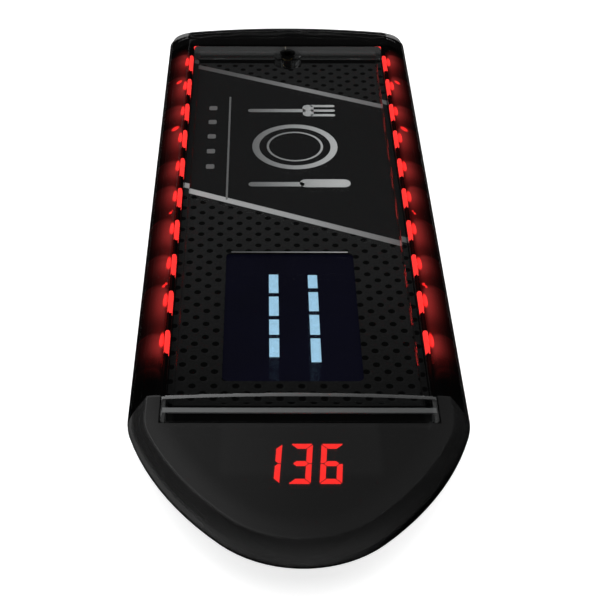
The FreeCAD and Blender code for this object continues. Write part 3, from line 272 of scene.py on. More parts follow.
@dataclass(frozen=True)
class SmokedPlastic(Finish):
    """Dark see-through plastic that carries the red of the lights in its walls, and painted highlights and
    shading in how milky it is.

    Attributes:
        tint: What one pass through a wall lets by.
        gloss: Roughness of the polished face.
        coat: How strong its gloss is.
        index: Its refractive index.
        first_light: Y of the farthest light, in mm.
        light_pitch: Distance between lights.
        light_count: Lights in a row.
        pool_out: Distance from the middle at which the pools of light are brightest.
        pool_spread: How wide they are across, as twice their variance.
        glow_colour: Colour of the pools.
        glow_level: Strength of their light.
        arc_out: Distance from the middle at which the pools bulge most towards the far end.
        arc_half: How far from there the bulge is gone.
        arc: How far they bulge.
        pod_edge: Y where the raised display end starts.
        pod_corner: Radius of its rear corners.
        pod_straight: Distance from the middle at which those corners start.
        brink: Height where its top turns into its slope.
        window_half: Half the window's width.
        window_near: Y of the window's near end.
        half_width: Half the body's width.
        tip: Centre and radius of the nose's tip.
        flank: Centre and radius of the nose's flank.
        tip_share: Slope of the line from the tip's centre to where the flank starts.
    """

    tint: Colour = (0.12, 0.12, 0.12)
    gloss: float = 0.015
    coat: float = 0.25
    index: float = 1.1
    first_light: float = FIRST_LIGHT
    light_pitch: float = LIGHT_PITCH
    light_count: int = LIGHT_COUNT
    pool_out: float = 35.0
    pool_spread: float = 8.5
    glow_colour: Colour = (1.0, 0.085, 0.08)
    glow_level: float = 0.155
    arc_out: float = 38.0
    arc_half: float = 2.6
    arc: float = 1.3
    pod_edge: float = -78.2
    pod_corner: float = 8.0
    pod_straight: float = 34.65
    brink: float = 19.7
    window_half: float = 33.5
    window_near: float = -88.0
    half_width: float = 41.65
    tip: Triple = (0.0, -99.4, 27.6)
    flank: Triple = (-32.84, -61.84, 77.49)
    tip_share: float = 0.874

    def inset(self, graph: Graph) -> Term:
        """Writes how far a point lies inside the outline in plan.

        Args:
            graph: The material's nodes.

        Returns:
            The distance in mm.
        """
        x, y, _ = graph.axes()
        out = abs(x)
        reach = graph.span(out - self.flank[0], y - self.flank[1])
        side = graph.math("SMOOTH_MIN", self.half_width - out, self.flank[2] - reach, 1.5)
        ahead = self.tip[1] - y
        nose = self.tip[2] - graph.span(out, ahead)
        inner = graph.math("LESS_THAN", out, ahead * self.tip_share)
        return inner * nose + (1.0 - inner) * side

    def pools(self, graph: Graph) -> Term:
        """Writes the glow of each row of lights along its sloped side.

        Args:
            graph: The material's nodes.

        Returns:
            The glow's strength.
        """
        x, y, _ = graph.axes()
        out = abs(x)
        arc = (out - self.arc_out) / self.arc_half
        arc = (1.0 - arc * arc) * self.arc
        turn = (arc + (self.first_light + 1.6) - y) / self.light_pitch
        turn = turn + graph.math("SINE", turn * 2.6) * 0.12
        phase = graph.math("FRACT", turn)
        row = graph.fade(phase, 0.0, 0.14) * graph.fade(phase, 0.85, 0.38) * 0.8 + 0.2
        span = graph.fade(turn, -0.3, 0.1) * graph.fade(turn, self.light_count + 0.25, self.light_count - 0.5)
        reach = out - self.pool_out
        across = graph.math("EXPONENT", reach * reach / -self.pool_spread)
        body = row * span * (across * graph.fade(out, 33.6, 35.2))
        rim = 1.0 - graph.fade(abs(phase - 0.05), 0.0, 0.03)
        return body + rim * span * graph.fade(out, 36.0, 40.0, 0.0, 0.16)

    def milk_and_painted_light(self, graph: Graph) -> Term:
        """Writes how milky the plastic is, which also paints light and shade: dark and clear, with a paler
        display end that carries painted crease highlights, a painted reflection and painted shading that is
        lighter on the left.

        Args:
            graph: The material's nodes.

        Returns:
            The share of milk and painted light, from 0 to 1.
        """
        x, y, z = graph.axes()
        out = abs(x)
        corner = graph.span(graph.math("MAXIMUM", out - self.pod_straight, 0.0),
                            graph.math("MAXIMUM", y - (self.pod_edge - self.pod_corner), 0.0))
        pod = graph.fade(corner, self.pod_corner + 0.1, self.pod_corner - 0.1)
        slope = graph.fade(z, self.brink, self.brink - 0.25)
        ahead = graph.fade(out, 34.0, 12.0)
        left, right = graph.fade(x, 15.0, -34.0), graph.fade(x, 5.0, 25.0)
        # Painted highlights: a line along the crown's crease and along the raised end's rear edge, much
        # stronger on the left.
        crease_highlight = graph.fade(z, 19.0, 19.5) * graph.fade(z, 19.79, 19.72)
        back = graph.fade(corner, 7.2, 7.7) * graph.fade(z, self.brink, self.brink + 0.08)
        crease_highlight = (crease_highlight + back) * (left * 0.2 + 0.02)
        # Painted shading on the nose's slope: paler lower down and darker to the right.
        nose = graph.fade(z, 19.6, 14.6, 0.1, 0.3) * graph.fade(x, 0.0, 28.0, 1.0, 0.65)
        # Painted shading on the side slopes: lighter on the left than on the right.
        side = graph.fade(x, -30.0, 30.0, 0.155, 0.072)
        # Painted highlight on the outer crease of the left side.
        edge = graph.fade(z, 16.4, 15.0) * graph.fade(x, -34.0, -8.0, 0.45, 0.0)
        # Painted shade: the rim is left clear and dark below a height that is higher on the right side.
        foot = right * graph.fade(z, 14.6, 15.5) + (1.0 - right) * graph.fade(z, 13.4, 14.4)
        steep_milk_and_light = (nose * ahead + side * (1.0 - ahead) + edge) * foot + crease_highlight
        # Painted reflection of a softbox on the middle of the display end's top.
        painted_reflection = graph.fade(out, 17.5, 19.5, 0.025, 0.0) * graph.fade(y, -106.5, -103.5)
        # Painted light on the top next to its crown, stronger on the left.
        crown_light = graph.fade(self.inset(graph), 10.0, 4.0) * (left * 0.08 + 0.02)
        # The top's own milk, painted lighter on the left, with the painted highlights and reflection added.
        flat = graph.fade(x, -36.0, 8.0, 0.18, 0.105) + painted_reflection + crown_light + crease_highlight
        window = (graph.fade(out, self.window_half + 0.05, self.window_half - 0.05)
                  * graph.fade(y, self.window_near, self.window_near + 0.1))
        raised = (slope * steep_milk_and_light + (1.0 - slope) * flat) * (pod * (1.0 - window))
        return raised + graph.fade(y, 107.0, 109.0, 0.01, 0.03)

    def write(self, graph: Graph) -> Term:
        """Writes the clear dark body, the milky display end with its painted highlights and shading, and the
        glow.
        """
        gloss = graph.fade(graph.noise(30.0, 2.0), 0.3, 0.7, self.gloss * 0.8, self.gloss * 1.3)
        return graph.surface(
            Base_Color=self.tint, Transmission_Weight=1.0 - self.milk_and_painted_light(graph), Roughness=gloss, IOR=self.index,
            Specular_IOR_Level=0.0, Coat_Weight=self.coat, Coat_Roughness=0.04,
            Emission_Color=self.glow_colour, Emission_Strength=self.pools(graph) * self.glow_level)


@dataclass(frozen=True)
class ClearPlastic(Finish):
    """Clear plastic that lets lamps light what is under it.

    Attributes:
        tint: What it lets by.
        index: Its refractive index.
        waviness: Depth of the moulded waviness in mm.
    """

    tint: Colour = (0.97, 0.98, 0.98)
    index: float = 1.49
    waviness: float = 0.004

    def clarity(self, graph: Graph) -> Any:
        """Gives how clear the plastic is, from 0 to 1."""
        return 1.0

    def write(self, graph: Graph) -> Term:
        """Writes slightly wavy clear plastic with clear shadows."""
        body = graph.surface(Base_Color=self.tint, Transmission_Weight=self.clarity(graph), Roughness=0.0,
                             IOR=self.index, Normal=graph.bump(graph.noise(9.0, 1.0), self.waviness))
        return graph.blend(graph.path("Shadow"), body, graph.node("BsdfTransparent", {0: self.tint}))


@dataclass(frozen=True)
class CoverPlastic(ClearPlastic):
    """The clear cover, made dull where light is painted: a highlight along the edge of its step, light caught
    in the side walls of its raised end and a reflection on its far strip.

    Attributes:
        step: Y of the step's middle at the sides.
        bow: How far the step bows towards the far end.
        step_highlight_half: Half the width of the painted highlight along the step's edge.
        half_width: Half the cover's width.
        far_reflection_from: Y where the painted reflection on the far end starts.
    """

    step: float = -78.75
    bow: float = 1.1
    step_highlight_half: float = 0.75
    half_width: float = 32.4
    far_reflection_from: float = 101.3

    def clarity(self, graph: Graph) -> Term:
        """Writes painted light as dull plastic: a highlight along the step's edge, fading from left to right,
        light in the raised side walls and a reflection on the far strip.

        Args:
            graph: The material's nodes.

        Returns:
            How clear the plastic is.
        """
        x, y, z = graph.axes()
        across = x / self.half_width
        gap = abs(y - (1.0 - across * across) * self.bow - self.step)
        # Painted highlight along the top edge of the step, brighter on the left.
        line = graph.fade(gap, self.step_highlight_half + 0.1, self.step_highlight_half - 0.1) * graph.fade(z, 18.3, 18.6)
        line = line * graph.fade(x, -34.0, 26.0, 0.96, 0.38)
        # Painted light caught in the side walls of the raised end.
        wall_light = graph.fade(abs(x), 32.0, 32.2) * graph.fade(y, self.step + 0.3, self.step - 0.3)
        # Painted reflection on the strip at the far end.
        far = graph.fade(y, self.far_reflection_from, self.far_reflection_from + 0.3)
        dull = graph.math("MAXIMUM", line * 0.19, wall_light * 0.027)
        return 1.0 - graph.math("MAXIMUM", dull, far * 0.026)


class Polish(Enum):
    """How a metal surface was worked."""

    TURNED = (1, 1, 12)
    DRAWN = (12, 1, 1)
    PLATED = (1, 1, 1)


@dataclass(frozen=True)
class Metal(Finish):
    """Bare or plated metal with its working marks."""

    colour: Colour = (0.56, 0.56, 0.57)
    roughness: float = 0.28
    polish: Polish = Polish.PLATED

    def write(self, graph: Graph) -> Term:
        """Writes fine marks in gloss and height over a faint stain.

        Args:
            graph: The material's nodes.

        Returns:
            The shader.
        """
        marks = graph.noise(0.5, 3.0, self.polish.value)
        colour = graph.mix(graph.noise(5.0, 2.0), self.colour, toned(self.colour, 0.82))
        rough = graph.fade(marks, 0.25, 0.75, self.roughness * 0.7, self.roughness * 1.35)
        return graph.surface(Base_Color=colour, Metallic=1.0, Roughness=rough,
                             Normal=graph.bump(marks, 0.004))


@dataclass(frozen=True)
class Glow(Finish):
    """A lit part, a little brighter in patches.

    Attributes:
        colour: Its light.
        strength: How strong the light is.
        body: Its colour unlit.
    """

    colour: Colour = (1.0, 0.034, 0.03)
    strength: float = 12.0
    body: Colour = (0.3, 0.02, 0.02)

    def write(self, graph: Graph) -> Term:
        """Writes a slightly uneven light over a satin body."""
        level = graph.fade(graph.noise(1.5, 1.0), 0.2, 0.8, self.strength * 0.93, self.strength * 1.07)
        return graph.surface(Base_Color=self.body, Roughness=0.4, Emission_Color=self.colour,
                             Emission_Strength=level)


@dataclass(frozen=True)
class PoolLiner(Finish):
    """The milky strip over a row of lights, with a hot spot above each light.

    Attributes:
        first_light: Y of the farthest hot spot, in mm.
        light_pitch: Distance between lights.
        light_count: Lights in a row.
        spot_out: Distance of the hot spots from the middle.
        squeeze: How much narrower than long they are.
        colour: Their light.
        strength: How strong it is.
        stray: Stray spots, each as Y, distance from the middle and radius.
    """

    first_light: float = 98.1
    light_pitch: float = LIGHT_PITCH
    light_count: int = LIGHT_COUNT
    spot_out: float = 34.75
    squeeze: float = 3.9
    colour: Colour = (1.0, 0.018, 0.016)
    strength: float = 14.0
    stray: tuple[Triple, ...] = ((86.5, 37.0, 1.3), (55.5, 36.8, 1.6), (6.5, 35.6, 0.8), (-29.0, 35.4, 1.0))

    def write(self, graph: Graph) -> Term:
        """Writes a hot spot above each light and a soft spill between them.

        Args:
            graph: The material's nodes.

        Returns:
            The shader.
        """
        x, y, _ = graph.axes()
        out = abs(x)
        turn = (self.first_light - y) / self.light_pitch
        gap = graph.math("PINGPONG", turn, 0.5) * self.light_pitch
        spot = graph.fade(graph.span(gap, (out - self.spot_out) * self.squeeze), 3.6, 1.6)
        for place, side, size in self.stray:
            reach = graph.span(out - side, y - place)
            spot = graph.math("MAXIMUM", spot, graph.fade(reach, size * 0.4, size, 0.7, 0.0))
        spill = graph.fade(gap, 1.0, 8.0, 1.0, 0.25) * graph.fade(out, 35.0, 38.6, 0.03, 0.0)
        span = graph.fade(turn, -0.5, -0.3) * graph.fade(turn, self.light_count - 0.4, self.light_count - 0.7)
        level = (spot + spill) * span * self.strength
        grain = graph.noise(0.4, 2.0)
        body = graph.mix(grain, (0.11, 0.1, 0.1), (0.15, 0.14, 0.14))
        return graph.surface(Base_Color=body, Roughness=0.55, Emission_Color=self.colour,
                             Emission_Strength=level, Normal=graph.bump(grain, 0.01))


@dataclass(frozen=True)
class PrintedCard(Finish):
    """The card's print: a field of dimples, two slanting stripes and a plain panel.

    Attributes:
        half_width: Half the printed width, in mm.
        pitch: Distance between dimples in a row.
        dimple: Radius of a dimple.
        start: A dimple's centre.
        lip_highlight_shift: How far the painted highlight on one side of each dimple's rim is from it.
        slant: How far the stripes fall for each mm across.
        far_stripe: Y of the far stripe at X 0.
        near_stripe: Y of the near stripe at X 0.
        stripe: Width of a stripe along Y.
        soft: Half the width of a soft edge.
        near_tone: The field's colour at the near end.
        far_tone: The field's colour at the far end.
        panel_tones: The two colours of the panel's specks.
        far_greys: The far stripe's greys, each after where it is from left (0) to right (1).
        near_greys: The near stripe's greys.
    """

    half_width: float = 31.5
    pitch: float = 5.5
    dimple: float = 0.92
    start: Spot = (-15.45, -68.4)
    lip_highlight_shift: Spot = (0.28, -0.34)
    slant: float = 0.441
    far_stripe: float = 85.0
    near_stripe: float = 6.75
    stripe: float = 2.7
    soft: float = 0.1
    near_tone: Colour = (0.0079, 0.0079, 0.0079)
    far_tone: Colour = (0.0226, 0.0227, 0.0227)
    panel_tones: tuple[Colour, Colour] = ((0.0122, 0.0122, 0.0124), (0.0153, 0.0153, 0.0155))
    far_greys: tuple[Spot, ...] = ((0.0, 0.09), (0.25, 0.145), (0.45, 0.24), (0.57, 0.32), (1.0, 0.2))
    near_greys: tuple[Spot, ...] = ((0.0, 0.56), (0.35, 0.49), (0.57, 0.43), (0.72, 0.33), (1.0, 0.165))

    def stripe_grey(self, graph: Graph, x: Term, greys: Sequence[Spot]) -> Term:
        """Writes a stripe's grey from the card's left edge to its right.

        Args:
            graph: The material's nodes.
            x: Across the card.
            greys: Its greys, each after its place.

        Returns:
            The colour.
        """
        place = graph.math("DIVIDE", x + self.half_width, 2.0 * self.half_width, clamp=True)
        ramp = graph.node("ValToRGB", {0: place})
        stops = ramp.socket.node.color_ramp.elements
        stops.remove(stops[1])
        for index, (place, grey) in enumerate(greys):
            stop = stops.new(place) if index else stops[0]
            stop.position, stop.color = place, (grey, grey * 0.985, grey * 0.985, 1.0)
        return ramp

    def dimples(self, graph: Graph, x: Term, y: Term, shift: Spot) -> Term:
        """Writes the distance to the nearest dimple of the staggered field.

        Args:
            graph: The material's nodes.
            x: Across the card.
            y: Along the card.
            shift: How far the whole field is moved.

        Returns:
            The distance in mm.
        """
        half = self.pitch / 2
        dx = graph.math("PINGPONG", x - (self.start[0] + shift[0]), half)
        dy = graph.math("PINGPONG", y - (self.start[1] + shift[1]), half)
        return graph.math("MINIMUM", graph.span(dx, dy), graph.span(half - dx, half - dy))

    def colour(self, graph: Graph) -> Term:
        """Writes the print.

        Args:
            graph: The material's nodes.

        Returns:
            Its colour.
        """
        x, y, _ = graph.axes()
        soft, half = self.soft, self.stripe / 2
        line = y + x * self.slant
        far = graph.fade(abs(line - self.far_stripe), half + soft, half - soft)
        near = graph.fade(abs(line - self.near_stripe), half + soft, half - soft)
        panel = (graph.fade(line, self.near_stripe - soft, self.near_stripe + soft)
                 * graph.fade(line, self.far_stripe + soft, self.far_stripe - soft))
        pit = graph.fade(self.dimples(graph, x, y, (0.0, 0.0)), self.dimple + soft, self.dimple - soft)
        rim_highlight = graph.fade(self.dimples(graph, x, y, self.lip_highlight_shift), self.dimple + 0.25, self.dimple - soft)
        speck = graph.noise(0.7, 2.0)
        tone = graph.mix(graph.fade(y, -95.0, 20.0), self.near_tone, self.far_tone)
        tone = graph.mix(graph.fade(speck, 0.3, 0.7, 0.0, 0.2), tone, BLACK)
        # Painted highlight: a paler crescent on one side of each dimple, where light would catch its rim.
        tone = graph.mix(rim_highlight * 0.008, tone, (0.3, 0.3, 0.3))
        tone = graph.mix(pit * 0.88, tone, BLACK)
        tone = graph.mix(panel, tone, graph.mix(speck, *self.panel_tones))
        tone = graph.mix(far, tone, self.stripe_grey(graph, x, self.far_greys))
        return graph.mix(near, tone, self.stripe_grey(graph, x, self.near_greys))

    def write(self, graph: Graph) -> Term:
        """Writes the print under a satin varnish."""
        return graph.surface(Base_Color=self.colour(graph), Roughness=0.5, Specular_IOR_Level=0.0,
                             Normal=graph.bump(graph.noise(0.3, 2.0), 0.003))


@dataclass(frozen=True)
class TrayPlastic(PrintedCard):
    """Black plastic on which the print goes on beside the card.

    Attributes:
        black: Its own colour.
        card_half: Half the card's width.
        card_far: Y of the card's far end.
        face: Height of the tray's face.
    """

    black: Colour = (0.0012, 0.0012, 0.0012)
    card_half: float = 30.4
    card_far: float = 100.0
    face: float = 12.8

    def write(self, graph: Graph) -> Term:
        """Writes grained black with the print on the rim of its face.

        Args:
            graph: The material's nodes.

        Returns:
            The shader.
        """
        x, y, z = graph.axes()
        beside = (graph.fade(abs(x), self.card_half, self.card_half + 0.1)
                  * graph.fade(y, self.card_far, self.card_far - 0.2)
                  * graph.fade(z, self.face - 0.1, self.face - 0.05, 0.0, 0.8))
        return graph.surface(Base_Color=graph.mix(beside, self.black, self.colour(graph)), Roughness=0.55,
                             Specular_IOR_Level=0.02, Normal=graph.bump(graph.noise(0.2, 2.0), 0.01))


@dataclass(frozen=True)
class PrintedInk(Finish):
    """Pale ink that goes from one grey to another across the card; on the end bar, a grey whose fall to the
    right is a painted reflection.
    """

    left: Colour = (0.16, 0.16, 0.16)
    right: Colour = (0.66, 0.66, 0.66)
    start: float = -18.0
    end: float = 20.0

    def write(self, graph: Graph) -> Term:
        """Writes the gradient with a little paper grain.

        Args:
            graph: The material's nodes.

        Returns:
            The shader.
        """
        x, _, _ = graph.axes()
        grain = graph.fade(graph.noise(0.4, 2.0), 0.2, 0.8, -0.03, 0.03)
        share = graph.math("ADD", graph.fade(x, self.start, self.end), grain, clamp=True)
        return graph.surface(Base_Color=graph.mix(share, self.left, self.right), Roughness=0.5)


@dataclass(frozen=True)
class CircuitBoard(Finish):
    """Solder mask with tracks under it and plated holes."""

    colour: Colour = (0.006, 0.03, 0.014)
    track: Colour = (0.012, 0.055, 0.024)
    plating: Colour = (0.5, 0.42, 0.2)
    pitch: float = 1.6

    def write(self, graph: Graph) -> Term:
        """Writes tracks along both ways and small plated holes.

        Args:
            graph: The material's nodes.

        Returns:
            The shader.
        """
        x, y, _ = graph.axes()
        bend = graph.noise(9.0, 0.0) * 6.0
        run = graph.math("PINGPONG", x + bend, self.pitch / 2)
        cross = graph.math("PINGPONG", y + bend, self.pitch)
        tracks = graph.math("MAXIMUM", graph.fade(run, 0.26, 0.18), graph.fade(cross, 0.16, 0.1))
        holes = graph.fade(graph.cells(3.4), 0.11, 0.09)
        colour = graph.mix(holes, graph.mix(tracks, self.colour, self.track), self.plating)
        return graph.surface(Base_Color=colour, Roughness=0.32, Metallic=holes * 0.9,
                             Normal=graph.bump(tracks, 0.03))


@dataclass(frozen=True)
class Rubber(Finish):
    """Soft rubber with a matt, slightly dusty skin."""

    colour: Colour = (0.012, 0.012, 0.012)
    dust: Colour = (0.03, 0.029, 0.028)

    def write(self, graph: Graph) -> Term:
        """Writes a fine skin and pale dust."""
        share = graph.fade(graph.noise(2.5, 4.0), 0.5, 0.8)
        return graph.surface(Base_Color=graph.mix(share, self.colour, self.dust), Roughness=0.82,
                             Specular_IOR_Level=0.3, Normal=graph.bump(graph.noise(0.18, 3.0), 0.02))


@dataclass(frozen=True)
class Foam(Finish):
    """Open-cell foam."""

    colour: Colour = (0.03, 0.03, 0.032)
    pore: Colour = (0.005, 0.005, 0.005)

    def write(self, graph: Graph) -> Term:
        """Writes pores in colour and height."""
        pores = graph.cells(0.5)
        return graph.surface(Base_Color=graph.mix(pores, self.pore, self.colour), Roughness=0.95,
                             Normal=graph.bump(pores, 0.15))


@dataclass(frozen=True)
class Foil(Finish):
    """Crinkled silver pouch foil."""

    dull: Colour = (0.48, 0.49, 0.5)
    bright: Colour = (0.62, 0.63, 0.64)

    def write(self, graph: Graph) -> Term:
        """Writes creases and a faint haze.

        Args:
            graph: The material's nodes.

        Returns:
            The shader.
        """
        fold = graph.fade(graph.cells(7.0, "DISTANCE_TO_EDGE", (1, 1, 3)), 0.0, 0.12)
        haze = graph.noise(3.0, 3.0)
        return graph.surface(Base_Color=graph.mix(haze, self.dull, self.bright), Metallic=0.85,
                             Roughness=graph.fade(haze, 0.2, 0.8, 0.26, 0.42),
                             Normal=graph.bump(fold * 0.6 + haze * 0.6, 0.12))


@dataclass(frozen=True)
class FlatCable(Finish):
    """Amber film with copper tracks along it."""

    copper: Colour = (0.45, 0.2, 0.08)

    def write(self, graph: Graph) -> Term:
        """Writes the tracks across the cable's width.

        Args:
            graph: The material's nodes.

        Returns:
            The shader.
        """
        x, _, _ = graph.axes()
        tracks = graph.fade(graph.math("PINGPONG", x, 0.25), 0.08, 0.12)
        film = graph.mix(graph.noise(4.0, 2.0), (0.30, 0.11, 0.02), (0.38, 0.15, 0.03))
        return graph.surface(Base_Color=graph.mix(tracks, self.copper, film), Roughness=0.3,
                             Normal=graph.bump(tracks, 0.02))


@dataclass(frozen=True)
class Paper(Finish):
    """A blank satin label."""

    colour: Colour = (0.62, 0.62, 0.6)

    def write(self, graph: Graph) -> Term:
        """Writes fibres and a faint mottle.

        Args:
            graph: The material's nodes.

        Returns:
            The shader.
        """
        fibres = graph.noise(0.35, 4.0, (1, 3, 1))
        colour = graph.mix(fibres, self.colour, toned(self.colour, 0.86))
        return graph.surface(Base_Color=colour, Roughness=0.6, Normal=graph.bump(fibres, 0.01))


@dataclass(frozen=True)
class DarkScreen(Finish):
    """The lit but dark field of a small colour screen."""

    colour: Colour = (0.0016, 0.0016, 0.0070)

    def write(self, graph: Graph) -> Term:
        """Writes the pixel rows over a faint clouding.

        Args:
            graph: The material's nodes.

        Returns:
            The shader.
        """
        x, y, _ = graph.axes()
        across, along = (graph.fade(graph.math("PINGPONG", way, 0.1), 0.01, 0.03) for way in (x, y))
        cloud = graph.fade(graph.noise(16.0, 1.0), 0.2, 0.8, 0.85, 1.15)
        return graph.surface(Base_Color=(0.002, 0.002, 0.003), Roughness=0.3, Specular_IOR_Level=0.0,
                             Emission_Color=self.colour, Emission_Strength=(across * along + 0.15) * cloud)


SMOKED_SHELL = SmokedPlastic("smoked_shell")
SMOKED_SLOPE = SmokedPlastic("smoked_slope", coat=0.0, index=1.01)
SMOKED_RIM = SmokedPlastic("smoked_rim", gloss=0.08, coat=0.0, index=1.01)
BLACK_HULL = MouldedPlastic("black_hull", (0.006, 0.006, 0.006), 0.5, 0.3, 0.02, 0.12)
CLEAR_COVER = CoverPlastic("clear_cover")
CLEAR_STEP = CoverPlastic("clear_step", index=1.001)
TRAY_PLASTIC = TrayPlastic("tray_plastic")
# The end bar's own grey, with a painted reflection making it lighter on the left.
BAR_GREY_AND_REFLECTION = PrintedInk("grey_bar", (0.165, 0.165, 0.165), (0.107, 0.107, 0.107), -30.0, 33.0)
DISPLAY_BLACK = MouldedPlastic("display_black", (0.012, 0.012, 0.012), 0.5)
CHIP_BLACK = MouldedPlastic("chip_black", (0.014, 0.014, 0.015), 0.6, 0.15, 0.012)
SOCKET_WHITE = MouldedPlastic("socket_white", (0.55, 0.53, 0.48), 0.45)
BUZZER_BLACK = MouldedPlastic("buzzer_black", (0.01, 0.01, 0.01), 0.35)
UNLIT_RED = MouldedPlastic("unlit_red", (0.02, 0.008, 0.008), 0.4)
WIRE_SKIN = MouldedPlastic("wire_skin", (0.22, 0.01, 0.01), 0.35, 0.1, 0.004)
LAMP_WHITE = MouldedPlastic("lamp_white", (0.5, 0.5, 0.48), 0.5, 0.1, 0.004)
RUBBER = Rubber("black_rubber")
FOAM = Foam("foam")
DARK_STEEL = Metal("dark_steel", (0.06, 0.06, 0.062), 0.22, Polish.TURNED)
STEEL = Metal("steel", (0.56, 0.56, 0.57), 0.26, Polish.TURNED)
BRASS = Metal("brass", (0.75, 0.53, 0.22), 0.3, Polish.TURNED)
GOLD = Metal("gold_plate", (0.95, 0.68, 0.28), 0.2)
TINNED = Metal("tinned_steel", (0.62, 0.62, 0.6), 0.35, Polish.DRAWN)
CARD = PrintedCard("printed_card")
INK = PrintedInk("pale_ink")
GLASS = ClearPlastic("screen_glass", (0.96, 0.97, 0.98), 1.5, 0.001)
SCREEN = DarkScreen("panel")
SCREEN_MARK = Glow("screen_mark", (0.44, 0.76, 1.0), 0.95, (0.004, 0.004, 0.006))
DIGIT = Glow("lit_digit", (1.0, 0.02, 0.016))
LAMP = Glow("lit_lamp")
WALL_GLOW = Glow("wall_glow", strength=4.0)
LINER = PoolLiner("light_liner")
BOARD = CircuitBoard("circuit_board")
RIBBON = FlatCable("ribbon")
FOIL = Foil("battery_foil")
PAPER = Paper("label_paper")


# ------------------------------------------------------------------ making pieces

def dress(node: str, finish: Finish) -> bpy.types.Object:
    """Gives a carried-over node its finish.

    Args:
        node: The node's name.
        finish: Its finish.

    Returns:
        The node's object.
    """
    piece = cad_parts[node]
    piece.data.materials.clear()
    piece.data.materials.append(finish.material())
    return piece


def settle(name: str, work: bmesh.types.BMesh, finish: Finish, slot: str, body: str, replaces: Sequence[str],
           angle: float) -> bpy.types.Object:
    """Turns mesh work into a placed piece that is smooth except over its hard edges.

    Args:
        name: The piece's name.
        work: The mesh, in metres where it belongs. It is used up.
        finish: Its finish.
        slot: The record's material slot; not used.
        body: The body that it moves with.
        replaces: Nodes that it stands for.
        angle: The least angle of a hard edge, in degrees.

    Returns:
        The piece.
    """
    for face in work.faces:
        face.smooth = True
    for edge in work.edges:
        edge.smooth = len(edge.link_faces) == 2 and edge.calc_face_angle(math.pi) < math.radians(angle)
    mesh = bpy.data.meshes.new(name)
    work.to_mesh(mesh)
    work.free()
    mesh.materials.append(finish.material())
    piece = bpy.data.objects.new(name, mesh)
    bpy.context.scene.collection.objects.link(piece)
    piece.modifiers.new("even_normals", "WEIGHTED_NORMAL").keep_sharp = True
    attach(piece, body)
    if replaces:
        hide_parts(*replaces)
    return piece


def polished(node: str, finish: Finish, slot: str, body: str = "case") -> bpy.types.Object:
    """Stands a smoothly shaded copy in for a carried-over node.

    Args:
        node: The node's name.
        finish: Its finish.
        slot: The record's material slot.
        body: The body that it moves with.

    Returns:
        The copy.
    """
    work = bmesh.new()
    work.from_mesh(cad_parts[node].data)
    bmesh.ops.remove_doubles(work, verts=work.verts, dist=1e-6)
    bmesh.ops.dissolve_degenerate(work, edges=work.edges, dist=1e-7)
    return settle(node + "_surface", work, finish, slot, body, (node,), 32.0)


def set_piece(name: str, work: bmesh.types.BMesh, finish: Finish, slot: str, body: str = "case",
              replaces: Sequence[str] = ()) -> bpy.types.Object:
    """Turns mesh work in millimetres into a placed piece.

    Args:
        name: The piece's name.
        work: The mesh, where it belongs. It is used up.
        finish: Its finish.
        slot: The record's material slot.
        body: The body that it moves with.
        replaces: Nodes that it stands for.

    Returns:
        The piece.
    """
    bmesh.ops.recalc_face_normals(work, faces=work.faces)
    bmesh.ops.scale(work, vec=(MM, MM, MM), verts=work.verts)
    return settle(name, work, finish, slot, body, replaces, 35.0)


def soft_block(work: bmesh.types.BMesh, size: Sequence[float], centre: Sequence[float], soft: float,
               segments: int = 3) -> None:
    """Adds a block with rounded edges.

    Args:
        work: The mesh to add to.
        size: Its size along x, y and z.
        centre: Its middle.
        soft: Radius of its edges.
        segments: Steps in each rounding.
    """
    made = bmesh.ops.create_cube(work, size=1.0)["verts"]
    bmesh.ops.scale(work, vec=Vector(size), verts=made)
    edges = list({edge for vert in made for edge in vert.link_edges})
    rounded = bmesh.ops.bevel(work, geom=edges, offset=soft, segments=segments, profile=0.5, affect="EDGES",
                              material=-1, clamp_overlap=True)
    verts = list({*(v for v in made if v.is_valid), *rounded["verts"]})
    bmesh.ops.translate(work, vec=Vector(centre), verts=verts)


def clothe(rows: Rows) -> Iterable[bpy.types.Object]:
    """Dresses carried-over nodes in order.

    Args:
        rows: Each node with its finish, and with the slot and perhaps the body of a smooth copy that
            stands in for it.

    Returns:
        Their pieces.
    """
    for node, finish, *copy in rows:
        yield polished(node, finish, *copy) if copy else dress(node, finish)


# ------------------------------------------------------------------ the pager

@dataclass
class Case:
    """The hull, the smoked shell and what holds them together.

    Attributes:
        sloped: A face whose normal rises less than this is part of a slope.
        knee: Height below which a sloped face is part of the rim, in mm.
    """

    sloped: float = 0.995
    knee: float = 15.6

    def shell(self) -> bpy.types.Object:
        """Dresses the smoked shell, with duller finishes on its slopes and its rim.

        Returns:
            The shell.
        """
        piece = polished("top_shell", SMOKED_SHELL, "smoked_shell")
        for finish in (SMOKED_SLOPE, SMOKED_RIM):
            piece.data.materials.append(finish.material())
        for face in piece.data.polygons:
            if abs(face.normal.z) < self.sloped:
                face.material_index = 2 if face.center.z < self.knee * MM else 1
        return piece

    def build(self) -> Iterable[bpy.types.Object]:
        """Dresses the case.

        Returns:
            Its pieces.
        """
        yield self.shell()
        yield from clothe((
            ("bottom_housing", BLACK_HULL, "black_hull"),
            ("insert_tray", TRAY_PLASTIC, "tray_plastic"),
            ("rubber_feet", RUBBER, "black_rubber"),
            ("housing_screws", STEEL, "steel"),
            ("tray_screws", STEEL, "steel"),
            ("threaded_inserts", BRASS, "brass"),
            ("housing_seal", RUBBER),
            ("blank_label", PAPER),
        ))


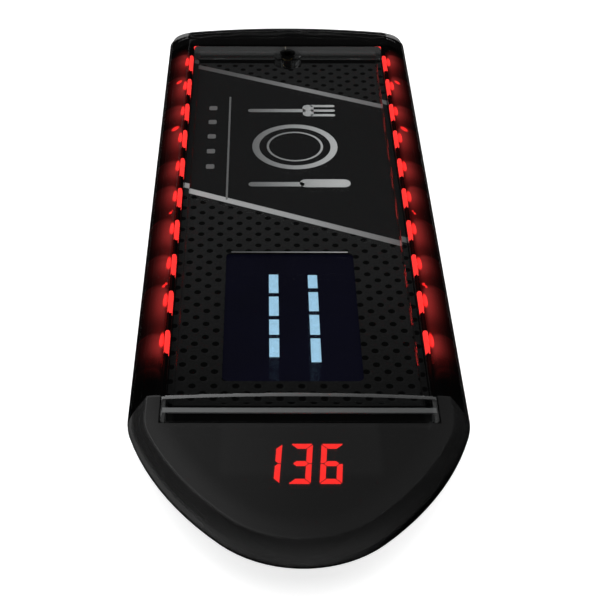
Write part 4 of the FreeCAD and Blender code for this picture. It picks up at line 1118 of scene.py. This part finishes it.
@dataclass
class Window:
    """The card under its clear cover, and the screw that holds the cover.

    Attributes:
        card_face: Height of the card's face.
        ink: Thickness of the printed motif.
        ink_lift: How far it stands off the card.
        plate: Middle of the printed plate.
        plate_radius: Radius of the printed plate's rim.
        step_from: Y where the cover's step begins.
        step_low: Height of the lowest face inside the step.
        step_high: Height just under its top.
        rim: Distance from the middle beyond which its top is rounded.
        air: Gap between the cover and what it rests on.
    """

    card_face: float = 13.2
    ink: float = 0.03
    ink_lift: float = 0.005
    plate: Spot = (1.5, 46.0)
    plate_radius: float = 13.5
    step_from: float = -76.5
    step_low: float = 16.3
    step_high: float = 19.75
    rim: float = 32.8
    air: float = 0.02

    def ring(self, work: bmesh.types.BMesh, radius: float, width: float) -> None:
        """Adds a flat printed ring round the plate's middle.

        Args:
            work: The mesh to add to.
            radius: Its outer radius.
            width: How wide the line is.
        """
        made = bmesh.ops.create_circle(work, cap_ends=True, radius=radius, segments=96,
                                       matrix=Matrix.Translation((*self.plate, 0.0)))["verts"]
        face = made[0].link_faces[0]
        bmesh.ops.inset_individual(work, faces=[face], thickness=width)
        bmesh.ops.delete(work, geom=[face], context="FACES_ONLY")

    def bar(self, work: bmesh.types.BMesh, size: Spot, centre: Spot, soft: float) -> None:
        """Adds a flat printed bar with rounded corners.

        Args:
            work: The mesh to add to.
            size: Its size across and along the card.
            centre: Its middle.
            soft: Radius of its corners.
        """
        made = bmesh.ops.create_grid(work, x_segments=1, y_segments=1, size=0.5)["verts"]
        bmesh.ops.scale(work, vec=(*size, 1.0), verts=made)
        bmesh.ops.translate(work, vec=(*centre, 0.0), verts=made)
        bmesh.ops.bevel(work, geom=made, offset=soft, segments=6, profile=0.5, affect="VERTICES",
                        material=-1, clamp_overlap=True)

    def motif(self) -> bpy.types.Object:
        """Prints a plate between a fork and a knife, with thin rules.

        Returns:
            The printed piece.
        """
        work = bmesh.new()
        x, y = self.plate
        self.ring(work, self.plate_radius, 2.2)
        self.ring(work, self.plate_radius * 0.66, 0.7)
        fork, knife = y + 22.5, y - 22.0
        tines = [((8.0, 1.4), (x + 9.6, fork + step * 3.0), 0.68) for step in (-1, 0, 1)]
        squares = [((2.6, 2.6), (-25.0, 70.0 - step * 9.0), 0.6) for step in range(5)]
        bars = (
            ((19.0, 2.0), (x - 5.5, fork), 0.98),
            ((3.6, 7.4), (x + 4.8, fork), 1.7),
            *tines,
            ((17.0, 2.4), (x - 6.0, knife), 1.18),
            ((15.5, 4.4), (x + 8.8, knife + 0.6), 2.1),
            ((0.6, 62.0), (-19.5, 46.5), 0.28),
            *squares,
            ((33.0, 0.4), (-1.1, -11.2), 0.18),
        )
        for size, centre, soft in bars:
            self.bar(work, size, centre, soft)
        for face in work.faces:
            if face.normal.z < 0:
                face.normal_flip()
        made = bmesh.ops.extrude_face_region(work, geom=work.faces[:])["geom"]
        tops = [part for part in made if isinstance(part, bmesh.types.BMVert)]
        bmesh.ops.translate(work, vec=(0, 0, self.ink), verts=tops)
        bmesh.ops.translate(work, vec=(0, 0, self.card_face + self.ink_lift), verts=work.verts)
        return set_piece("printed_motif", work, INK, "printed_card")

    def cover(self) -> bpy.types.Object:
        """Dresses the cover, whose step lets the card be seen through its walls.

        Returns:
            The cover.
        """
        piece = polished("ad_cover", CLEAR_COVER, "clear_acrylic", "cover")
        piece.data.materials.append(CLEAR_STEP.material())
        for face in piece.data.polygons:
            x, y, z = face.center / MM
            if y < self.step_from and self.step_low < z and (z < self.step_high or abs(x) > self.rim):
                face.material_index = 1
        for vert in piece.data.vertices:
            if vert.co.z < (self.card_face + self.air) * MM:
                vert.co.z += self.air * MM
        return piece

    def build(self) -> Iterable[bpy.types.Object]:
        """Dresses the window.

        Returns:
            Its pieces.
        """
        yield dress("ad_card", CARD)
        yield self.motif()
        yield dress("window_end_bar", BAR_GREY_AND_REFLECTION)
        yield self.cover()
        yield from clothe((
            ("screw_washer", DARK_STEEL, "steel", "washer"),
            ("cover_screw", DARK_STEEL, "steel", "screw"),
            ("cover_insert", BRASS, "brass"),
        ))


@dataclass
class Screen:
    """The small colour screen in the card.

    Attributes:
        panel_top: Height of the lit panel's face.
        centre: Middle of the screen.
        bar: Width and thickness of a lit bar.
        lift: How far its middle is above the panel.
        rows: The rows of bars: where each is across, and where its bars are along it with their lengths.
        air: Gap between the panel and the glass.
    """

    panel_top: float = 11.7
    centre: Spot = (-1.1, -39.0)
    bar: Spot = (2.6, 0.03)
    lift: float = 0.02
    rows: tuple[tuple[float, tuple[Spot, ...]], ...] = (
        (6.2, ((15.5, 6.0), (6.5, 8.4), (-3.5, 8.4), (-14.0, 9.6))),
        (-4.6, ((14.5, 8.4), (4.5, 8.4), (-4.5, 6.4), (-13.0, 7.6))),
    )
    air: float = 0.06

    def marks(self) -> bpy.types.Object:
        """Lights two rows of plain rounded bars on the panel.

        Returns:
            The lit piece.
        """
        work = bmesh.new()
        x, y = self.centre
        width, thick = self.bar
        for across, bars in self.rows:
            for along, length in bars:
                middle = (x + across, y + along, self.panel_top + self.lift)
                soft_block(work, (width, length, thick), middle, 0.014, 1)
        return set_piece("screen_marks", work, SCREEN_MARK, "screen_glass")

    def glass(self) -> bpy.types.Object:
        """Lays the glass a hair above the panel.

        Returns:
            The glass.
        """
        low, high = (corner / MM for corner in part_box("screen_glass"))
        low.z += self.air
        work = bmesh.new()
        soft_block(work, high - low, (low + high) / 2, 0.12, 2)
        return set_piece("screen_cover_glass", work, GLASS, "screen_glass", replaces=("screen_glass",))

    def build(self) -> Iterable[bpy.types.Object]:
        """Dresses the screen.

        Returns:
            Its pieces.
        """
        yield self.glass()
        yield from clothe((
            ("screen_panel", SCREEN),
            ("screen_foam", FOAM),
            ("screen_ribbon", RIBBON, "ribbon"),
        ))
        yield self.marks()


@dataclass
class NumberDisplay:
    """The three-digit number and its board.

    Attributes:
        shrink: Share of its size that a lit segment keeps, for a dark line round it.
    """

    shrink: float = 0.94

    def lit(self) -> bpy.types.Object:
        """Lights the segments, each drawn in a little towards its middle.

        Returns:
            The segments.
        """
        piece = polished("lit_segments", DIGIT, "lit_red")
        work = bmesh.new()
        work.from_mesh(piece.data)
        left = set(work.verts)
        while left:
            part, front = [], [left.pop()]
            while front:
                vert = front.pop()
                part.append(vert)
                near = {edge.other_vert(vert) for edge in vert.link_edges} & left
                left -= near
                front.extend(near)
            middle = sum((vert.co for vert in part), Vector()) / len(part)
            bmesh.ops.scale(work, vec=(self.shrink, self.shrink, 1.0), space=Matrix.Translation(-middle),
                            verts=part)
        work.to_mesh(piece.data)
        work.free()
        return piece

    def build(self) -> Iterable[bpy.types.Object]:
        """Dresses the number display.

        Returns:
            Its pieces.
        """
        yield dress("digit_module", DISPLAY_BLACK)
        yield self.lit()
        yield from clothe((
            ("unlit_segments", UNLIT_RED),
            ("display_board", BOARD),
            ("display_socket", SOCKET_WHITE),
            ("display_ribbon", RIBBON, "ribbon"),
            ("display_screws", STEEL, "steel"),
        ))


class Side(Enum):
    """A side of the pager."""

    LEFT = -1
    RIGHT = 1


@dataclass
class LightRow:
    """One row of lights with its board and liner.

    Attributes:
        side: Which side it is on.
        across: Distance of the lights from the middle.
        first: Y of the farthest light.
        pitch: Distance between lights.
        count: Number of lights.
        base: Size of a light's base.
        lens: Half of a lens's size each way.
        foot: Height of the light board's face.
        seat: How far above that a lens starts.
        wall: Distance of the glowing wall from the middle.
        glow: Size of the glow beside each light.
        glow_back: How far it is from the light towards the near end.
        glow_height: Height of its middle.
        end: Size of the painted reflection of the farthest light at the window's far corner.
        end_reflection_place: Its distance from the middle, its Y and its height.
    """

    side: Side
    across: float = 35.5
    first: float = FIRST_LIGHT
    pitch: float = LIGHT_PITCH
    count: int = LIGHT_COUNT
    base: Triple = (2.0, 3.2, 0.495)
    lens: Triple = (0.85, 1.4, 1.35)
    foot: float = 12.0
    seat: float = 0.45
    wall: float = 33.35
    glow: Triple = (1.2, 5.0, 5.2)
    glow_back: float = 1.4
    glow_height: float = 15.25
    end: Triple = (2.4, 0.9, 1.2)
    end_reflection_place: Triple = (31.6, 107.3, 17.0)

    @property
    def name(self) -> str:
        """The side in lower case."""
        return self.side.name.lower()

    def at(self, out: float, z: float, back: float = 0.0) -> list[Vector]:
        """Gives a place by each light.

        Args:
            out: Its distance from the middle.
            z: Its height.
            back: How far it is from the light towards the near end.

        Returns:
            The places.
        """
        rows = (self.first - self.pitch * step - back for step in range(self.count))
        return [Vector((self.side.value * out, y, z)) for y in rows]

    def bases(self) -> bpy.types.Object:
        """Makes the pale bases of the lights.

        Returns:
            The piece.
        """
        work = bmesh.new()
        for place in self.at(self.across, self.foot + self.base[2] / 2):
            soft_block(work, self.base, place, 0.12)
        return set_piece(f"{self.name}_light_bases", work, LAMP_WHITE, "socket_white")

    def lenses(self) -> bpy.types.Object:
        """Makes the domed lenses of the lights.

        Returns:
            The piece.
        """
        work = bmesh.new()
        seat = self.foot + self.seat
        for place in self.at(self.across, seat):
            made = bmesh.ops.create_uvsphere(work, u_segments=20, v_segments=10, radius=1.0)["verts"]
            bmesh.ops.scale(work, vec=self.lens, verts=made)
            bmesh.ops.translate(work, vec=place, verts=made)
        cut = bmesh.ops.bisect_plane(work, geom=work.verts[:] + work.edges[:] + work.faces[:], dist=1e-5,
                                     plane_co=(0, 0, seat), plane_no=(0, 0, -1), clear_outer=True)
        rims = [part for part in cut["geom_cut"] if isinstance(part, bmesh.types.BMEdge)]
        bmesh.ops.holes_fill(work, edges=rims)
        return set_piece(f"{self.name}_light_lenses", work, LAMP, "lit_red",
                         replaces=(f"{self.name}_lights",))

    def wall_glow(self) -> bpy.types.Object:
        """Makes the painted light that stands in the window's wall beside each light, and a painted
        reflection of the farthest light at the window's far corner.

        Returns:
            The piece.
        """
        work = bmesh.new()
        for place in self.at(self.wall, self.glow_height, self.glow_back):
            soft_block(work, self.glow, place, 0.55, 4)
        # Painted reflection of the farthest light in the window's far corner.
        out, y, z = self.end_reflection_place
        soft_block(work, self.end, (self.side.value * out, y, z), 0.4, 4)
        return set_piece(f"{self.name}_wall_glow", work, WALL_GLOW, "lit_red")

    def build(self) -> Iterable[bpy.types.Object]:
        """Builds the row.

        Returns:
            Its pieces.
        """
        yield dress(f"{self.name}_light_board", BOARD)
        yield dress(f"{self.name}_light_diffuser", LINER)
        yield self.bases()
        yield self.lenses()
        yield self.wall_glow()


@dataclass
class Electronics:
    """The main board and what is on it, and the charging contacts.

    Attributes:
        rows: Its nodes with their finishes, slots and bodies.
    """

    rows: Rows = (
        ("main_board", BOARD),
        ("board_chips", CHIP_BLACK),
        ("board_sockets", SOCKET_WHITE),
        ("radio_shield", TINNED),
        ("antenna_strip", BRASS),
        ("timing_crystal", TINNED, "tinned_steel"),
        ("capacitors", TINNED, "tinned_steel"),
        ("buzzer", BUZZER_BLACK, "buzzer_black"),
        ("board_screws", STEEL, "steel"),
        ("light_leads", WIRE_SKIN, "wire"),
        ("charging_contacts", GOLD, "gold_plate"),
        ("contact_springs", STEEL, "steel"),
    )

    def build(self) -> Iterable[bpy.types.Object]:
        """Dresses the nodes and gives their pieces."""
        return clothe(self.rows)


@dataclass
class Power(Electronics):
    """The battery and the vibration motor."""

    rows: Rows = (
        ("battery_pack", FOIL),
        ("battery_strap", STEEL, "steel"),
        ("strap_screws", STEEL, "steel"),
        ("battery_plug", SOCKET_WHITE),
        ("battery_leads", WIRE_SKIN, "wire"),
        ("motor_leads", WIRE_SKIN, "wire"),
        ("motor_can", STEEL, "steel"),
        ("motor_bush", BRASS, "brass"),
        ("motor_boot", RUBBER, "black_rubber"),
        ("motor_shaft", STEEL, "steel", "rotor"),
        ("motor_weight", STEEL, "steel", "rotor"),
    )


# ------------------------------------------------------------------ the studio

@dataclass(frozen=True)
class Lamp:
    """A soft rectangular lamp.

    Attributes:
        name: Its name.
        place: Where it stands, in metres.
        size: Its width and height.
        level: The brightness of its face.
        mirrored: Whether it shows in glossy and clear faces.
    """

    name: str
    place: Triple
    size: Spot
    level: float
    mirrored: bool = True


@dataclass
class Studio:
    """The floor, the lamps, the world and the camera, in metres.

    Attributes:
        lamps: The lamps, which all face the pager.
        floor_reach: Half the floor's width.
        white: How bright the floor is to the camera and in mirroring and clear faces.
        sky: Heights in the world from 0 to 1 between which it brightens, and its two levels.
        eye: Where the camera stands.
        look: Its turns in degrees.
        lens: Its focal length in mm.
        shift: How far its picture is moved sideways.
    """

    lamps: tuple[Lamp, ...] = (
        Lamp("overhead", (0.0, -0.15, 0.95), (1.3, 1.1), 2.2, mirrored=False),
        Lamp("left_strip", (-1.1, 0.1, 0.25), (0.9, 0.3), 0.4),
        Lamp("far_left", (-0.42, 0.74, 0.5), (0.32, 0.22), 2.5),
    )
    floor_reach: float = 6.0
    white: float = 0.8
    sky: tuple[float, ...] = (0.88, 1.0, 0.008, 0.1)
    eye: Triple = (-0.00936042, -0.32314199, 0.23898783)
    look: Triple = (52.2070, -0.08352, 0.04627)
    lens: float = 81.3
    shift: float = 0.0655

    def lay_floor(self) -> None:
        """Lays the white floor, which is clear from beneath."""
        work = bmesh.new()
        bmesh.ops.create_grid(work, x_segments=1, y_segments=1, size=self.floor_reach)
        mesh = bpy.data.meshes.new("floor")
        work.to_mesh(mesh)
        work.free()
        graph = Graph(bpy.data.materials.new("floor_white"))
        seen = graph.math("ADD", graph.path("Camera") + graph.path("Glossy"), graph.path("Transmission"),
                          clamp=True)
        white = graph.surface(Base_Color=(self.white,) * 3, Roughness=1.0, Specular_IOR_Level=0.0,
                              Emission_Color=(1.0, 1.0, 1.0), Emission_Strength=seen * self.white)
        beneath = graph.node("NewGeometry", {}, "Backfacing")
        graph.finish(graph.blend(beneath, white, graph.node("BsdfTransparent", {})))
        mesh.materials.append(bpy.data.materials["floor_white"])
        self.stand("floor", mesh)

    def stand(self, name: str, data: bpy.types.ID, place: Sequence[float] = (0, 0, 0)) -> bpy.types.Object:
        """Stands something in the scene.

        Args:
            name: Its name.
            data: Its mesh, lamp or camera.
            place: Where it goes.

        Returns:
            The object.
        """
        made = bpy.data.objects.new(name, data)
        bpy.context.scene.collection.objects.link(made)
        made.location = place
        return made

    def hang_lamps(self) -> None:
        """Hangs the lamps, each facing the pager."""
        for lamp in self.lamps:
            data = bpy.data.lights.new(lamp.name, "AREA")
            data.shape = "RECTANGLE"
            data.size, data.size_y = lamp.size
            data.energy = lamp.level * math.pi * lamp.size[0] * lamp.size[1]
            data.cycles.use_multiple_importance_sampling = lamp.mirrored
            made = self.stand(lamp.name, data, lamp.place)
            made.visible_glossy = lamp.mirrored
            made.visible_transmission = lamp.mirrored
            made.rotation_euler = Vector(lamp.place).to_track_quat("Z", "Y").to_euler()

    def write_sky(self) -> None:
        """Writes a dim surround, darkest where the flat faces mirror it and white to the camera."""
        bpy.context.scene.world = bpy.data.worlds.new("surround")
        graph = Graph(bpy.context.scene.world)
        height = graph.node("SeparateXYZ", {0: graph.node("TexCoord", {}, "Generated")}, "Z")
        dim = graph.node("MapRange", dict(enumerate((height, *self.sky))))
        level = graph.math("MAXIMUM", graph.path("Camera"), dim)
        graph.finish(graph.node("Background", {"Color": (1.0, 1.0, 1.0), "Strength": level}), "World")

    def set_camera(self) -> None:
        """Sets up the camera."""
        data = bpy.data.cameras.new("camera")
        data.lens = self.lens
        data.sensor_width = 36.0
        data.shift_x = self.shift
        data.clip_start = 0.01
        data.dof.use_dof = False
        made = self.stand("camera", data, self.eye)
        made.rotation_euler = [math.radians(angle) for angle in self.look]
        bpy.context.scene.camera = made

    def build(self) -> None:
        """Sets up the studio."""
        bpy.context.scene.view_settings.view_transform = "Standard"
        self.lay_floor()
        self.hang_lamps()
        self.write_sky()
        self.set_camera()


def main() -> None:
    """Builds the pager and its studio, and logs each piece with its face count."""
    logging.basicConfig(level=logging.INFO, format="%(message)s")
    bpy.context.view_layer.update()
    Studio().build()
    groups = (Case(), Window(), Screen(), NumberDisplay(), LightRow(Side.LEFT), LightRow(Side.RIGHT),
              Electronics(), Power())
    for group in groups:
        for piece in group.build():
            log.info("%s: %s, %d faces", type(group).__name__, piece.name, len(piece.data.polygons))


if __name__ == "__main__":
    main()
